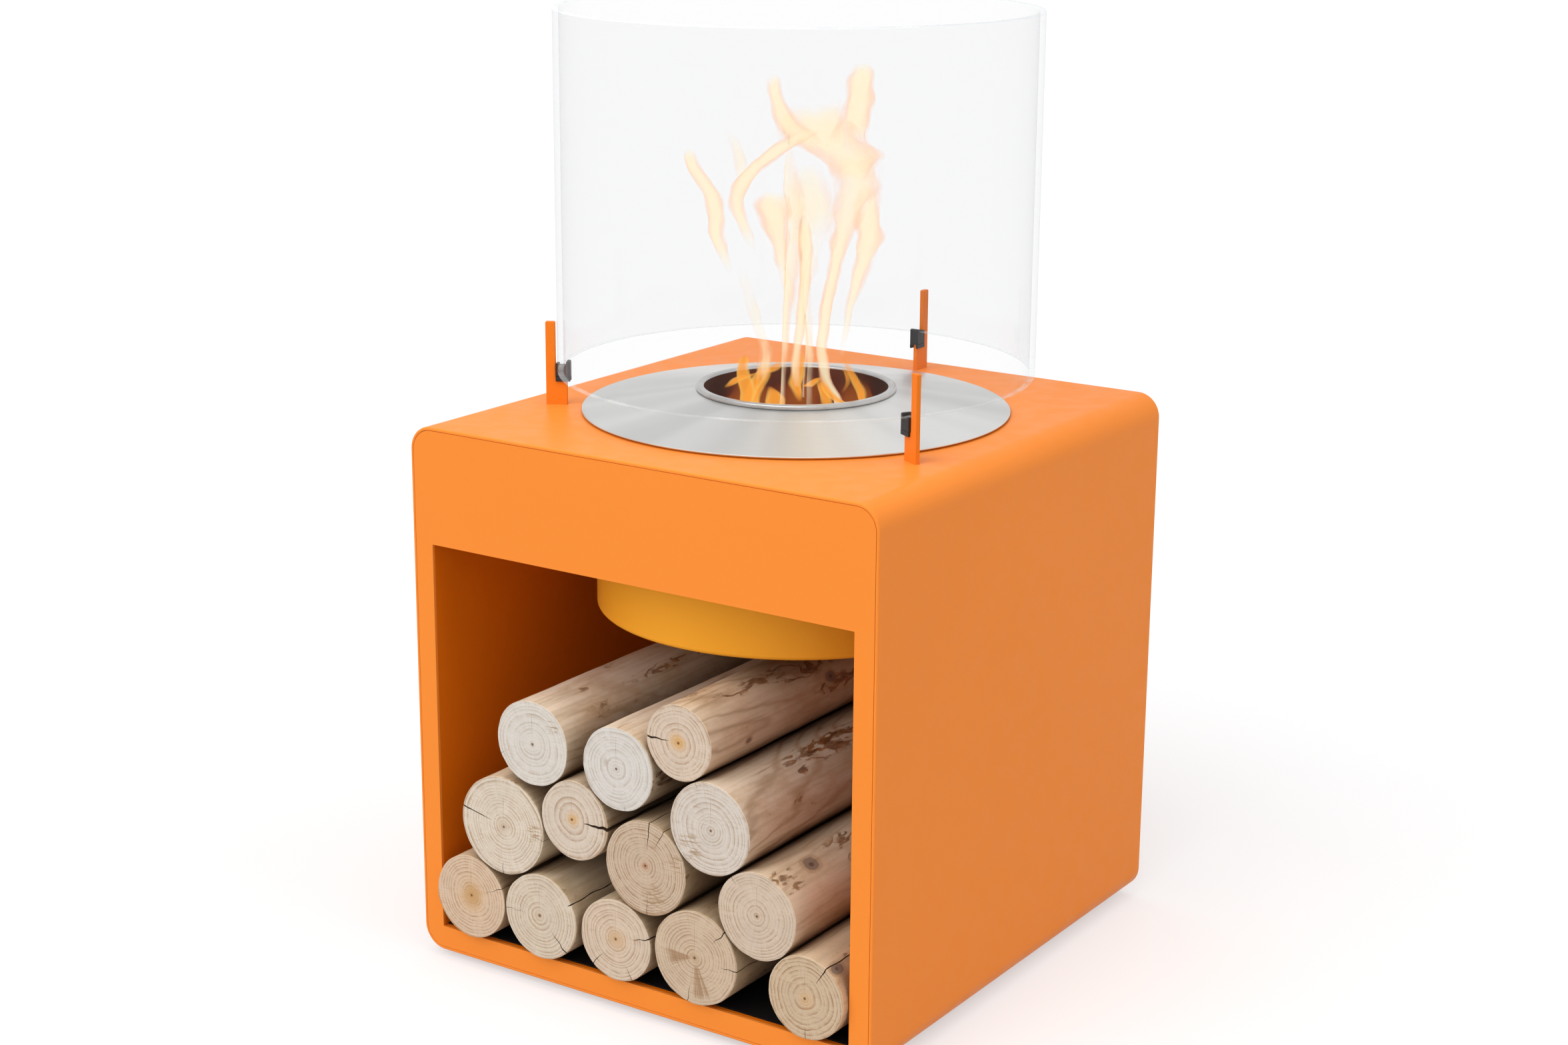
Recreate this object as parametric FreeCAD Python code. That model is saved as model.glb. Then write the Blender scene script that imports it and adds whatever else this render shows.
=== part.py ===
import FreeCAD, Part
import math
import os

# Free-standing burner fireplace on a cube log store. Millimetres, +Z up, the front faces -Y.
# The origin lies on the floor, under the centre of the casing.

# Burner: a shallow cone of sheet with a round mouth, a fuel vessel under it and a ring that carries it
PLATE_RADIUS = 175.0
PLATE_SHEET = 1.2
PLATE_RISE = 14.0
PLATE_EDGE_GAP = 1.3
MOUTH_RADIUS = 75.0
COLLAR_WALL = 1.5
COLLAR_WIDTH = 7.0
COLLAR_STAND = 4.6
COLLAR_ROUND = 2.2
COLLAR_FIT = 0.2
THROAT_DEPTH = 40.0
VESSEL_WALL = 1.5
VESSEL_WELL_GAP = 12.8
VESSEL_DEPTH = 118.0
WOOL_HEIGHT = 60.0
WOOL_THROAT_GAP = 8.5
WOOL_FIT = 0.5
SEAT_RING_WIDTH = 4.0
SEAT_RING_INSET = 1.5
SEAT_GAP = 0.2

# Well: a can that hangs by its flange in the hole of the casing's top
WELL_PLATE_LAP = 11.0
WELL_SHEET = 1.2
WELL_FLANGE = 7.0
WELL_DEPTH = 163.4
WELL_HOLE_GAP = 0.5

# Glass: an open tube that stands clear of the top
GLASS_PLATE_GAP = 14.0
GLASS_WALL = 5.0
GLASS_HEIGHT = 291.0
GLASS_STAND = 33.2
GLASS_ROUND = 1.2

# Brackets: flat radial plates with a low foot inside and a tall finger outside the glass
BRACKET_NAMES = ("back", "front_left", "front_right")
BRACKET_PLATE = 4.0
BRACKET_HEIGHT = 69.0
BRACKET_SHOULDER = 23.0
BRACKET_TOE = 1.0
FINGER_GAP = 3.5
FINGER_WIDTH = 8.0
SLOT_FIT = 0.15
FLANGE_LENGTH = 28.0
FLANGE_WIDTH = 27.0
FLANGE_SHEET = 3.0
STUD_RADIUS = 2.0
STUD_FIT = 0.3
STUD_SPACING = 17.0
STUD_TIP = 2.0
NUT_RADIUS = 4.04
NUT_HEIGHT = 3.2
NUT_FIT = 0.1

# Clips: saddles on the brackets' feet, with a groove for the glass edge
CLIP_WIDTH = 10.0
CLIP_LIP = 4.5
CLIP_LIP_HEIGHT = 6.5
CLIP_OUTER_LIP_HEIGHT = 3.5
CLIP_SKIRT = 3.5
CLIP_FIT = 0.15
CLIP_GLASS_GAP = 0.5

# Casing: a sheet wrapped round four sides, closed by a front frame and a back panel
CASING_HEIGHT = 448.0
CASING_SHEET = 2.5
BEND_RADIUS = 20.0
SIDE_MARGIN = 14.5
END_MARGIN = 18.0
SEAM = 0.3
STILE_WIDTH = 20.0
HEAD_HEIGHT = 96.5
LIP_HEIGHT = 21.0
LINER_SHEET = 1.5
LINER_TOP_GAP = 0.6
MAT_SHEET = 1.2
MAT_SETBACK = 6.0
MAT_FIT = 0.4
BACK_SHEET = 2.0
RIM_SHEET = 2.5
RIM_LAP = 5.0
RIM_DROP = 22.0
PANEL_SCREW_RADIUS = 2.0
PANEL_SCREW_LENGTH = 8.0
PANEL_HEAD_RADIUS = 4.0
PANEL_HEAD_HEIGHT = 2.0
SCREW_FIT = 0.1

# Feet: low rubber pads, each held by one screw from below
FOOT_HEIGHT = 6.0
FOOT_RADIUS = 14.0
FOOT_DRAFT = 1.5
FOOT_INSET = 45.0
FOOT_RECESS = 3.0
FOOT_SCREW_RADIUS = 2.0
FOOT_SCREW_STAND = 4.0
FOOT_HEAD_RADIUS = 4.5
FOOT_HEAD_HEIGHT = 2.2
FOOT_HEAD_GAP = 1.0

# Logs: a pile laid out in shares of its own width, as large as the store lets it be
LOG_PROUD = 7.5
LOG_REAR_GAP = 50.0
LOG_CHAMFER = 1.2
LOG_HEADROOM = 10.0
LOG_GAP_share = 0.0009
LOG_RADIUS_shares = (
    0.0905,
    0.0920,
    0.0875,
    0.0990,
    0.0860,
    0.1060,
    0.0985,
    0.0910,
    0.0840,
    0.0900,
    0.0870,
    0.0950,
    0.0780,
)
# The logs at the two ends of the floor lie against the store's side walls
END_LOGS = ("log_01", "log_05")
# Each other log on the floor, with its neighbour on the left, and the gaps between them
FLOOR_LOGS = (("log_02", "log_01"), ("log_03", "log_02"), ("log_04", "log_03"))
FLOOR_GAP_shares = (LOG_GAP_share, 0.0080, 0.0070)
# Each log that lies on two others, left and right, and the gaps to them: a crooked log touches only one
UPPER_LOGS = (
    ("log_06", "log_01", "log_02"),
    ("log_07", "log_03", "log_04"),
    ("log_08", "log_04", "log_05"),
    ("log_09", "log_06", "log_07"),
    ("log_10", "log_06", "log_09"),
    ("log_11", "log_09", "log_07"),
    ("log_12", "log_07", "log_08"),
    ("log_13", "log_11", "log_12"),
)
UPPER_LEFT_GAP_shares = (
    LOG_GAP_share,
    LOG_GAP_share,
    LOG_GAP_share,
    LOG_GAP_share,
    0.0120,
    LOG_GAP_share,
    LOG_GAP_share,
    LOG_GAP_share,
)
UPPER_RIGHT_GAP_shares = (
    LOG_GAP_share,
    LOG_GAP_share,
    LOG_GAP_share,
    LOG_GAP_share,
    LOG_GAP_share,
    0.0170,
    LOG_GAP_share,
    LOG_GAP_share,
)

# How far a cutting tool runs past the faces that it cuts
OVERRUN = 1.0

# Sizes worked out from those above
glass_inner = PLATE_RADIUS + GLASS_PLATE_GAP
glass_outer = glass_inner + GLASS_WALL
bracket_inner = glass_inner - BRACKET_TOE
finger_inner = glass_outer + FINGER_GAP
finger_outer = finger_inner + FINGER_WIDTH
half_width = finger_outer + SIDE_MARGIN
half_depth = finger_outer + END_MARGIN
inner_half = half_width - CASING_SHEET
inner_round = BEND_RADIUS - CASING_SHEET
base_z = FOOT_HEIGHT
top_z = base_z + CASING_HEIGHT
under_top = top_z - CASING_SHEET
store_half = half_width - STILE_WIDTH
floor_z = base_z + LIP_HEIGHT
mat_top = floor_z + MAT_SHEET
frame_back = -half_depth + CASING_SHEET
panel_front = half_depth - BACK_SHEET
rim_front = panel_front - RIM_SHEET
rim_half = store_half - RIM_LAP
rim_low = floor_z + RIM_LAP
rim_high = under_top - RIM_DROP
well_radius = PLATE_RADIUS - WELL_PLATE_LAP
well_flange_radius = well_radius + WELL_FLANGE
well_floor = top_z - WELL_DEPTH
throat_radius = MOUTH_RADIUS + COLLAR_WALL
collar_radius = MOUTH_RADIUS + COLLAR_WIDTH
plate_hole = throat_radius + COLLAR_FIT
vessel_radius = well_radius - WELL_SHEET - VESSEL_WELL_GAP
vessel_floor = top_z - VESSEL_DEPTH


def vec(x, y, z):
    return FreeCAD.Vector(x, y, z)


UP = vec(0, 0, 1)
FRONT_TO_BACK = vec(0, 1, 0)


def box(x0, x1, y0, y1, z0, z1):
    """A block between two corners."""
    return Part.makeBox(x1 - x0, y1 - y0, z1 - z0, vec(x0, y0, z0))


def rounded_block(half_x, y0, y1, z0, z1, radius):
    """A block whose four edges along Y are round."""
    block = box(-half_x, half_x, y0, y1, z0, z1)
    long_edges = [e for e in block.Edges if e.BoundBox.YLength > (y1 - y0) / 2]
    return block.makeFillet(radius, long_edges)


def rod(x, y, z0, z1, radius):
    """An upright cylinder."""
    return Part.makeCylinder(radius, z1 - z0, vec(x, y, z0), UP)


def turned(points):
    """A ring or disc whose half section is given as points of radius and height."""
    corners = [vec(r, 0, z) for r, z in points]
    outline = Part.makePolygon(corners + corners[:1])
    return Part.Face(outline).revolve(vec(0, 0, 0), UP, 360)


def circles_at(shape, radius, z):
    """The circular edges of a turned shape at one radius and height."""
    near = SEAM / 100
    return [
        e
        for e in shape.Edges
        if abs(e.BoundBox.XMax - radius) < near
        and abs(e.BoundBox.ZMax - z) < near
        and abs(e.BoundBox.ZMin - z) < near
    ]


def turn_to(shape, angle):
    """The shape, made along +X, turned about the upright axis."""
    turned_shape = shape.copy()
    turned_shape.rotate(vec(0, 0, 0), UP, angle)
    return turned_shape


def plate_under(radius):
    """Height of the burner plate's underside at a radius."""
    climb = (PLATE_RADIUS - radius) / (PLATE_RADIUS - collar_radius)
    return top_z + PLATE_EDGE_GAP + PLATE_RISE * climb


def plate_over(radius):
    """Height of the burner plate's upper side at a radius."""
    return plate_under(radius) + PLATE_SHEET


def panel_screw_places():
    """Places of the back panel's screws on the rim, as points of X and Z."""
    side = (rim_half + inner_half) / 2
    low = (base_z + CASING_SHEET + rim_low) / 2
    high = (rim_high + under_top) / 2
    middle = (low + high) / 2
    rows = [(x, z) for z in (low, middle, high) for x in (-side, side)]
    return rows + [(0, low), (0, high)]


def panel_rods(y0, y1, radius):
    """Cylinders along Y at each place of a back panel screw."""
    return [
        Part.makeCylinder(radius, y1 - y0, vec(x, y0, z), FRONT_TO_BACK)
        for x, z in panel_screw_places()
    ]


def foot_places():
    """Name and place of each foot."""
    x = half_width - FOOT_INSET
    y = half_depth - FOOT_INSET
    return {
        "front_left": (-x, -y),
        "front_right": (x, -y),
        "back_left": (-x, y),
        "back_right": (x, y),
    }


def bracket_angles():
    """Angle of each bracket round the glass, from the back on."""
    step = 360 / len(BRACKET_NAMES)
    return {name: 90 + k * step for k, name in enumerate(BRACKET_NAMES)}


def bracket_slot():
    """The cutter for one bracket's slot in the top, along +X."""
    half = BRACKET_PLATE / 2 + SLOT_FIT
    return box(
        bracket_inner - SLOT_FIT,
        finger_outer + SLOT_FIT,
        -half,
        half,
        under_top - OVERRUN,
        top_z + OVERRUN,
    )


def casing_wrap():
    """Top, sides and bottom in one sheet, open at the front and the back."""
    low = base_z + CASING_SHEET
    wrap = rounded_block(half_width, -half_depth, half_depth, base_z, top_z, BEND_RADIUS)
    front_end = -half_depth - OVERRUN
    rear_end = half_depth + OVERRUN
    room = rounded_block(inner_half, front_end, rear_end, low, under_top, inner_round)
    hole = rod(0, 0, under_top - OVERRUN, top_z + OVERRUN, well_radius + WELL_HOLE_GAP)
    slots = [turn_to(bracket_slot(), angle) for angle in bracket_angles().values()]
    foot_taps = [
        rod(x, y, base_z - OVERRUN, low + OVERRUN, FOOT_SCREW_RADIUS + SCREW_FIT)
        for x, y in foot_places().values()
    ]
    return wrap.cut([room, hole] + slots + foot_taps)


def end_plate(y0, y1):
    """A flat plate that fills the wrap's section, with a seam all round."""
    low = base_z + CASING_SHEET + SEAM
    high = under_top - SEAM
    return rounded_block(inner_half - SEAM, y0, y1, low, high, inner_round - SEAM)


def rear_rim():
    """The frame inside the wrap that the back panel is screwed to."""
    rim = end_plate(rim_front, panel_front)
    window = box(-rim_half, rim_half, rim_front - OVERRUN, panel_front + OVERRUN, rim_low, rim_high)
    taps = panel_rods(rim_front - OVERRUN, panel_front + OVERRUN, PANEL_SCREW_RADIUS + SCREW_FIT)
    return rim.cut([window] + taps)


def front_frame():
    """The flat front with the store's opening."""
    frame = end_plate(-half_depth, frame_back)
    opening = box(
        -store_half,
        store_half,
        -half_depth - OVERRUN,
        frame_back + OVERRUN,
        floor_z,
        top_z - HEAD_HEIGHT,
    )
    return frame.cut(opening)


def back_panel():
    """The closed back, set flush behind the rim."""
    panel = end_plate(panel_front, half_depth)
    holes = panel_rods(panel_front - OVERRUN, half_depth + OVERRUN, PANEL_SCREW_RADIUS + SCREW_FIT)
    return panel.cut(holes)


def back_panel_screws():
    """Pan-head screws through the back panel into the rim."""
    heads = panel_rods(half_depth, half_depth + PANEL_HEAD_HEIGHT, PANEL_HEAD_RADIUS)
    shanks = panel_rods(half_depth - PANEL_SCREW_LENGTH, half_depth, PANEL_SCREW_RADIUS)
    return Part.makeCompound([h.fuse(s).removeSplitter() for h, s in zip(heads, shanks)])


def liner_side(side):
    """An inner side wall of the store, on the left (-1) or the right (1)."""
    inner = side * store_half
    outer = side * (store_half + LINER_SHEET)
    high = under_top - LINER_TOP_GAP
    return box(min(inner, outer), max(inner, outer), frame_back, rim_front, floor_z, high)


def liner_floor():
    """The store's floor sheet, under the side walls and the mat."""
    half = store_half + LINER_SHEET
    return box(-half, half, frame_back, rim_front, floor_z - LINER_SHEET, floor_z)


def floor_mat():
    """The mat that the logs lie on."""
    half = store_half - MAT_FIT
    return box(-half, half, -half_depth + MAT_SETBACK, rim_front - MAT_FIT, floor_z, mat_top)


def ring(inner, outer, low, high):
    """A plain turned ring."""
    return turned([(inner, low), (outer, low), (outer, high), (inner, high)])


def burner_well():
    """The wall of the can that holds the burner."""
    return ring(well_radius - WELL_SHEET, well_radius, well_floor, top_z)


def well_flange():
    """The ring that the can hangs by, on the casing's top."""
    return ring(well_radius - WELL_SHEET, well_flange_radius, top_z, top_z + WELL_SHEET)


def well_bottom():
    """The can's floor, set in its wall."""
    return rod(0, 0, well_floor, well_floor + WELL_SHEET, well_radius - WELL_SHEET)


def stud_places():
    """Places of the two studs of a bracket that lies along +X."""
    middle = (bracket_inner + finger_outer) / 2
    return [(middle, -STUD_SPACING / 2), (middle, STUD_SPACING / 2)]


def glass_bracket():
    """One bracket along +X: a plate through the slot, on a flange that is bolted under the top."""
    half = BRACKET_PLATE / 2
    foot = box(bracket_inner, finger_outer, -half, half, under_top, top_z + BRACKET_SHOULDER)
    finger = box(finger_inner, finger_outer, -half, half, top_z, top_z + BRACKET_HEIGHT)
    middle = (bracket_inner + finger_outer) / 2
    flange = box(
        middle - FLANGE_LENGTH / 2,
        middle + FLANGE_LENGTH / 2,
        -FLANGE_WIDTH / 2,
        FLANGE_WIDTH / 2,
        under_top - FLANGE_SHEET,
        under_top,
    )
    holes = [
        rod(x, y, under_top - FLANGE_SHEET - OVERRUN, under_top + OVERRUN, STUD_RADIUS + STUD_FIT)
        for x, y in stud_places()
    ]
    return foot.fuse([finger, flange]).removeSplitter().cut(holes)


def bracket_stud_set():
    """The two studs of one bracket, which hang from the underside of the top."""
    tip = under_top - FLANGE_SHEET - NUT_HEIGHT - STUD_TIP
    return [rod(x, y, tip, under_top, STUD_RADIUS) for x, y in stud_places()]


def bracket_nut_set():
    """The two hexagon nuts of one bracket."""
    high = under_top - FLANGE_SHEET
    low = high - NUT_HEIGHT
    nuts = []
    for x, y in stud_places():
        corners = [
            vec(x + NUT_RADIUS * math.cos(turn), y + NUT_RADIUS * math.sin(turn), low)
            for turn in (k * math.pi / 3 for k in range(6))
        ]
        hexagon = Part.Face(Part.makePolygon(corners + corners[:1]))
        bore = rod(x, y, low - OVERRUN, high + OVERRUN, STUD_RADIUS + NUT_FIT)
        nuts.append(hexagon.extrude(vec(0, 0, NUT_HEIGHT)).cut(bore))
    return nuts


def round_the_brackets(solids):
    """The solids made along +X, copied to every bracket's angle."""
    return Part.makeCompound([turn_to(s, a) for a in bracket_angles().values() for s in solids])


def glass_clip():
    """One saddle along +X: it straddles the bracket's foot and holds the glass edge in a groove."""
    half = CLIP_WIDTH / 2
    shoulder = top_z + BRACKET_SHOULDER
    seat = top_z + GLASS_STAND - SEAT_GAP
    groove_inner = glass_inner - CLIP_GLASS_GAP
    groove_outer = glass_outer + CLIP_GLASS_GAP
    inner = groove_inner - CLIP_LIP
    outer = finger_inner - CLIP_FIT
    body = box(inner, outer, -half, half, shoulder - CLIP_SKIRT, seat)
    lip = box(inner, groove_inner, -half, half, seat, seat + CLIP_LIP_HEIGHT)
    outer_lip = box(groove_outer, outer, -half, half, seat, seat + CLIP_OUTER_LIP_HEIGHT)
    notch_half = BRACKET_PLATE / 2 + CLIP_FIT
    notch_inner = bracket_inner - CLIP_FIT
    notch = box(
        notch_inner,
        outer + OVERRUN,
        -notch_half,
        notch_half,
        shoulder - CLIP_SKIRT - OVERRUN,
        shoulder,
    )
    return body.fuse([lip, outer_lip]).removeSplitter().cut(notch)


def glass_cylinder():
    """The open glass tube with its edges rounded."""
    low = top_z + GLASS_STAND
    high = low + GLASS_HEIGHT
    tube = rod(0, 0, low, high, glass_outer).cut(rod(0, 0, low, high, glass_inner))
    edges = []
    for z in (low, high):
        for radius in (glass_inner, glass_outer):
            edges += circles_at(tube, radius, z)
    return tube.makeFillet(GLASS_ROUND, edges)


def burner_plate():
    """The shallow cone of sheet round the mouth."""
    return turned(
        [
            (PLATE_RADIUS, plate_under(PLATE_RADIUS)),
            (PLATE_RADIUS, plate_over(PLATE_RADIUS)),
            (plate_hole, plate_over(plate_hole)),
            (plate_hole, plate_under(plate_hole)),
        ]
    )


def burner_collar():
    """The rolled rim of the mouth, with the throat that reaches down into the vessel."""
    high = plate_over(collar_radius) + COLLAR_STAND
    low = top_z - THROAT_DEPTH
    collar = turned(
        [
            (MOUTH_RADIUS, low),
            (throat_radius, low),
            (throat_radius, plate_over(throat_radius)),
            (collar_radius, plate_over(collar_radius)),
            (collar_radius, high),
            (MOUTH_RADIUS, high),
        ]
    )
    edges = circles_at(collar, collar_radius, high) + circles_at(collar, MOUTH_RADIUS, high)
    return collar.makeFillet(COLLAR_ROUND, edges)


def burner_vessel():
    """The wall of the fuel tank that hangs under the plate."""
    inner = vessel_radius - VESSEL_WALL
    return turned(
        [
            (inner, vessel_floor),
            (vessel_radius, vessel_floor),
            (vessel_radius, plate_under(vessel_radius)),
            (inner, plate_under(inner)),
        ]
    )


def vessel_bottom():
    """The fuel tank's floor, set in its wall."""
    return rod(0, 0, vessel_floor, vessel_floor + VESSEL_WALL, vessel_radius - VESSEL_WALL)


def burner_wool():
    """The ring of ceramic wool on the vessel's floor."""
    inner = throat_radius + WOOL_THROAT_GAP
    outer = vessel_radius - VESSEL_WALL - WOOL_FIT
    low = vessel_floor + VESSEL_WALL
    return ring(inner, outer, low, low + WOOL_HEIGHT)


def burner_seat_ring():
    """The ring under the plate that rests on the well's flange."""
    outer = well_flange_radius - SEAT_RING_INSET
    inner = outer - SEAT_RING_WIDTH
    low = top_z + WELL_SHEET + SEAT_GAP
    return turned([(inner, low), (outer, low), (outer, plate_under(outer)), (inner, plate_under(inner))])


def foot(x, y):
    """A rubber pad with a recess for its screw."""
    pad = Part.makeCone(FOOT_RADIUS - FOOT_DRAFT, FOOT_RADIUS, FOOT_HEIGHT, vec(x, y, 0), UP)
    recess = rod(x, y, -OVERRUN, FOOT_RECESS, FOOT_HEAD_RADIUS + FOOT_HEAD_GAP)
    hole = rod(x, y, 0, FOOT_HEIGHT + OVERRUN, FOOT_SCREW_RADIUS + SCREW_FIT)
    return pad.cut([recess, hole])


def foot_screws():
    """One screw for each foot, with its head in the recess."""
    screws = []
    for x, y in foot_places().values():
        head = rod(x, y, FOOT_RECESS - FOOT_HEAD_HEIGHT, FOOT_RECESS, FOOT_HEAD_RADIUS)
        tip = base_z + CASING_SHEET + FOOT_SCREW_STAND
        shank = rod(x, y, FOOT_RECESS, tip, FOOT_SCREW_RADIUS)
        screws.append(head.fuse(shank).removeSplitter())
    return Part.makeCompound(screws)


def log_shares():
    """Radius of each log by name, as a share of the pile's width."""
    return {"log_%02d" % (k + 1): share for k, share in enumerate(LOG_RADIUS_shares)}


def nest(left, right, from_left, from_right):
    """The place above two others that lies at the given distances from them."""
    (x0, z0), (x1, z1) = left, right
    span = math.hypot(x1 - x0, z1 - z0)
    along = (from_left**2 - from_right**2 + span**2) / (2 * span)
    above = math.sqrt(from_left**2 - along**2)
    run = (x1 - x0) / span
    climb = (z1 - z0) / span
    return (x0 + run * along - climb * above, z0 + climb * along + run * above)


def pile_shares():
    """Centre of each log, as shares of the pile's width from its left side and from the floor."""
    radius = log_shares()
    first, last = END_LOGS
    first_in = radius[first] + LOG_GAP_share
    last_in = radius[last] + LOG_GAP_share
    places = {first: (first_in, first_in), last: (1 - last_in, last_in)}
    for (name, left), gap in zip(FLOOR_LOGS, FLOOR_GAP_shares):
        x, z = places[left]
        height = radius[name] + LOG_GAP_share
        apart = radius[name] + radius[left] + gap
        places[name] = (x + math.sqrt(apart**2 - (height - z) ** 2), height)
    gaps = zip(UPPER_LEFT_GAP_shares, UPPER_RIGHT_GAP_shares)
    for (name, left, right), (left_gap, right_gap) in zip(UPPER_LOGS, gaps):
        from_left = radius[left] + radius[name] + left_gap
        from_right = radius[right] + radius[name] + right_gap
        places[name] = nest(places[left], places[right], from_left, from_right)
    return places


def logs():
    """The pile, scaled to fill the store's width or, if that is less, its height under the well."""
    radius = log_shares()
    places = pile_shares()
    height_share = max(z + radius[name] for name, (x, z) in places.items())
    room = well_floor - LOG_HEADROOM - mat_top
    pile_width = min(2 * store_half, room / height_share)
    front = -half_depth - LOG_PROUD
    length = rim_front - LOG_REAR_GAP - front
    pile = {}
    for name, (x, z) in sorted(places.items()):
        centre = vec(-store_half + x * pile_width, front, mat_top + z * pile_width)
        billet = Part.makeCylinder(radius[name] * pile_width, length, centre, FRONT_TO_BACK)
        ends = [e for e in billet.Edges if e.BoundBox.YLength < length / 2]
        pile[name] = billet.makeChamfer(LOG_CHAMFER, ends)
    return pile


def all_nodes():
    """Every piece by name."""
    nodes = {
        "casing_wrap": casing_wrap(),
        "front_frame": front_frame(),
        "rear_rim": rear_rim(),
        "back_panel": back_panel(),
        "back_panel_screws": back_panel_screws(),
        "liner_left": liner_side(-1),
        "liner_right": liner_side(1),
        "liner_floor": liner_floor(),
        "floor_mat": floor_mat(),
        "burner_well": burner_well(),
        "well_flange": well_flange(),
        "well_bottom": well_bottom(),
        "bracket_studs": round_the_brackets(bracket_stud_set()),
        "bracket_nuts": round_the_brackets(bracket_nut_set()),
        "foot_screws": foot_screws(),
        "glass_cylinder": glass_cylinder(),
        "burner_plate": burner_plate(),
        "burner_collar": burner_collar(),
        "burner_vessel": burner_vessel(),
        "vessel_bottom": vessel_bottom(),
        "burner_wool": burner_wool(),
        "burner_seat_ring": burner_seat_ring(),
    }
    for place, angle in bracket_angles().items():
        nodes["glass_bracket_" + place] = turn_to(glass_bracket(), angle)
        nodes["glass_clip_" + place] = turn_to(glass_clip(), angle)
    for place, (x, y) in foot_places().items():
        nodes["foot_" + place] = foot(x, y)
    nodes.update(logs())
    return nodes


os.makedirs("parts", exist_ok=True)
for node, shape in all_nodes().items():
    shape.exportStep("parts/" + node + ".step")
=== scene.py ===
import random
from math import acos, cos, dist, hypot, pi, radians, sin, tan, tau

import bmesh
import bpy
from mathutils import Matrix, Vector, noise


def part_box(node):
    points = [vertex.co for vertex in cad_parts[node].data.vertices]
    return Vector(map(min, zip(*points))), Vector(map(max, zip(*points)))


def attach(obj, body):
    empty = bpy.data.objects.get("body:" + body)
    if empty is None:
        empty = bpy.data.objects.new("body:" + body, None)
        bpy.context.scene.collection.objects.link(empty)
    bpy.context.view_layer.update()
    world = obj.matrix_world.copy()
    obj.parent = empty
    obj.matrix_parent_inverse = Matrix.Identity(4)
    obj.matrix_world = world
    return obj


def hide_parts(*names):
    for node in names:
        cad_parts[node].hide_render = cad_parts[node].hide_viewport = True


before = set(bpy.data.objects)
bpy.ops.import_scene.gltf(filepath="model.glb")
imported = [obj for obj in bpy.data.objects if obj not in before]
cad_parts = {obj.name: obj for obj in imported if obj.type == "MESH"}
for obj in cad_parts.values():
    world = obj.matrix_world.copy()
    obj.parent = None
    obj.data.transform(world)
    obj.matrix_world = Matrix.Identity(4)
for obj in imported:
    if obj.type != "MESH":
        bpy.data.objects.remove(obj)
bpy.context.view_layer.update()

MM = 0.001
SHARP = 38.0

# Materials by name.
LOOKS = {}

# Sizes in mm that a node's box does not give.
SHEET = 2.5
BEND_RADIUS = 20.0
FRAME_CORNER = 17.2
FRAME_BREAK = 0.3
OPENING_CORNER = 0.6
TOP_BAND = 40.0
EDGE_BREAK = 0.25
EDGE_ROUND = 1.3
EDGE_STEPS = 6
CUT_REACH = 6.0
HOLE_PLAY = 0.4
SLOT_PLAY = 0.25
WELL_WALL = 1.2
WELL_CORNER = 4.0
PLATE_THICK = 1.2
PLATE_RISE_RADIUS = 82.0
THROAT_WALL = 1.5
THROAT_PLAY = 0.2
COLLAR_ROUND = 2.2
COLLAR_SEAT = 0.1
COLLAR_BRIGHT = 4.0
GLASS_ROUND = 1.4
GLASS_RIM = 4.0
WOOL_INNER = 85.0
WOOL_STEP = 3.0
WOOL_PUFF = 2.2
BRACKET_PLATE = 4.0
BRACKET_INNER = 188.0
BRACKET_STEP = 197.5
BRACKET_OUTER = 205.5
SHOULDER = 3.5
PAD_REACH = 13.0
PAD_HALF = 13.5
CLIP_INNER = 185.2
CLIP_OUTER = 197.35
CLIP_HALF = 4.0
CLIP_SHORT = 3.0
CLIP_OUTER_RISE = 15.0
CLIP_SEAT = 0.05
CLIP_PLAY = 0.1
GLASS_SEAT = 0.2
GROOVE_INNER = 188.5
GROOVE_OUTER = 194.5
BRACKET_TURNS = {"back": 90.0, "front_left": 210.0, "front_right": 330.0}
LOG_COLUMNS = 132
LOG_RINGS = 26
LOG_PUSH = 2.5
LOG_BUMP = 0.75
LOG_RIPPLE = 0.35
SAW_LIFT = 0.12
RIM_CHIP = 0.40
CRACK_WANDER = 0.035
CRACK_SEEN = 0.05
# How far along a log the painted light near the front fades out, and where old wood is full.
LIGHT_AND_AGE_REACH = 130.0
AGE_LEAD = 10.0


def node_box(name):
    low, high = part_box(name)
    return Vector(low) / MM, Vector(high) / MM


def node_points(name):
    """A node's corners as (distance from the upright axis, height)."""
    corners = [v.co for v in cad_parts[name].data.vertices]
    return [(hypot(p.x, p.y) / MM, p.z / MM) for p in corners]


wrap_low, wrap_high = node_box("casing_wrap")
well_high = node_box("burner_well")[1]
plate_low, plate_high = node_box("burner_plate")
collar_low, collar_high = node_box("burner_collar")
glass_low, glass_high = node_box("glass_cylinder")
front_y = node_box("log_01")[0].y
opening_half = node_box("liner_right")[0].x
opening_low = node_box("liner_floor")[1].z
opening_top = max(z for r, z in node_points("front_frame") if z < wrap_high.z - TOP_BAND)
throat_out = max(r for r, z in node_points("burner_collar") if z < collar_low.z + 1)
glass_wall = glass_high.x - min(r for r, z in node_points("glass_cylinder"))


def ripple(x, y, z):
    return noise.noise(Vector((x, y, z)))


# Mesh helpers. Sizes come in as mm and meshes are in metres.


def show(name, data):
    obj = bpy.data.objects.new(name, data)
    bpy.context.scene.collection.objects.link(obj)
    return obj


def smooth(mesh, sharp):
    mesh.polygons.foreach_set("use_smooth", [True] * len(mesh.polygons))
    mesh.set_sharp_from_angle(angle=radians(sharp))


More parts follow.
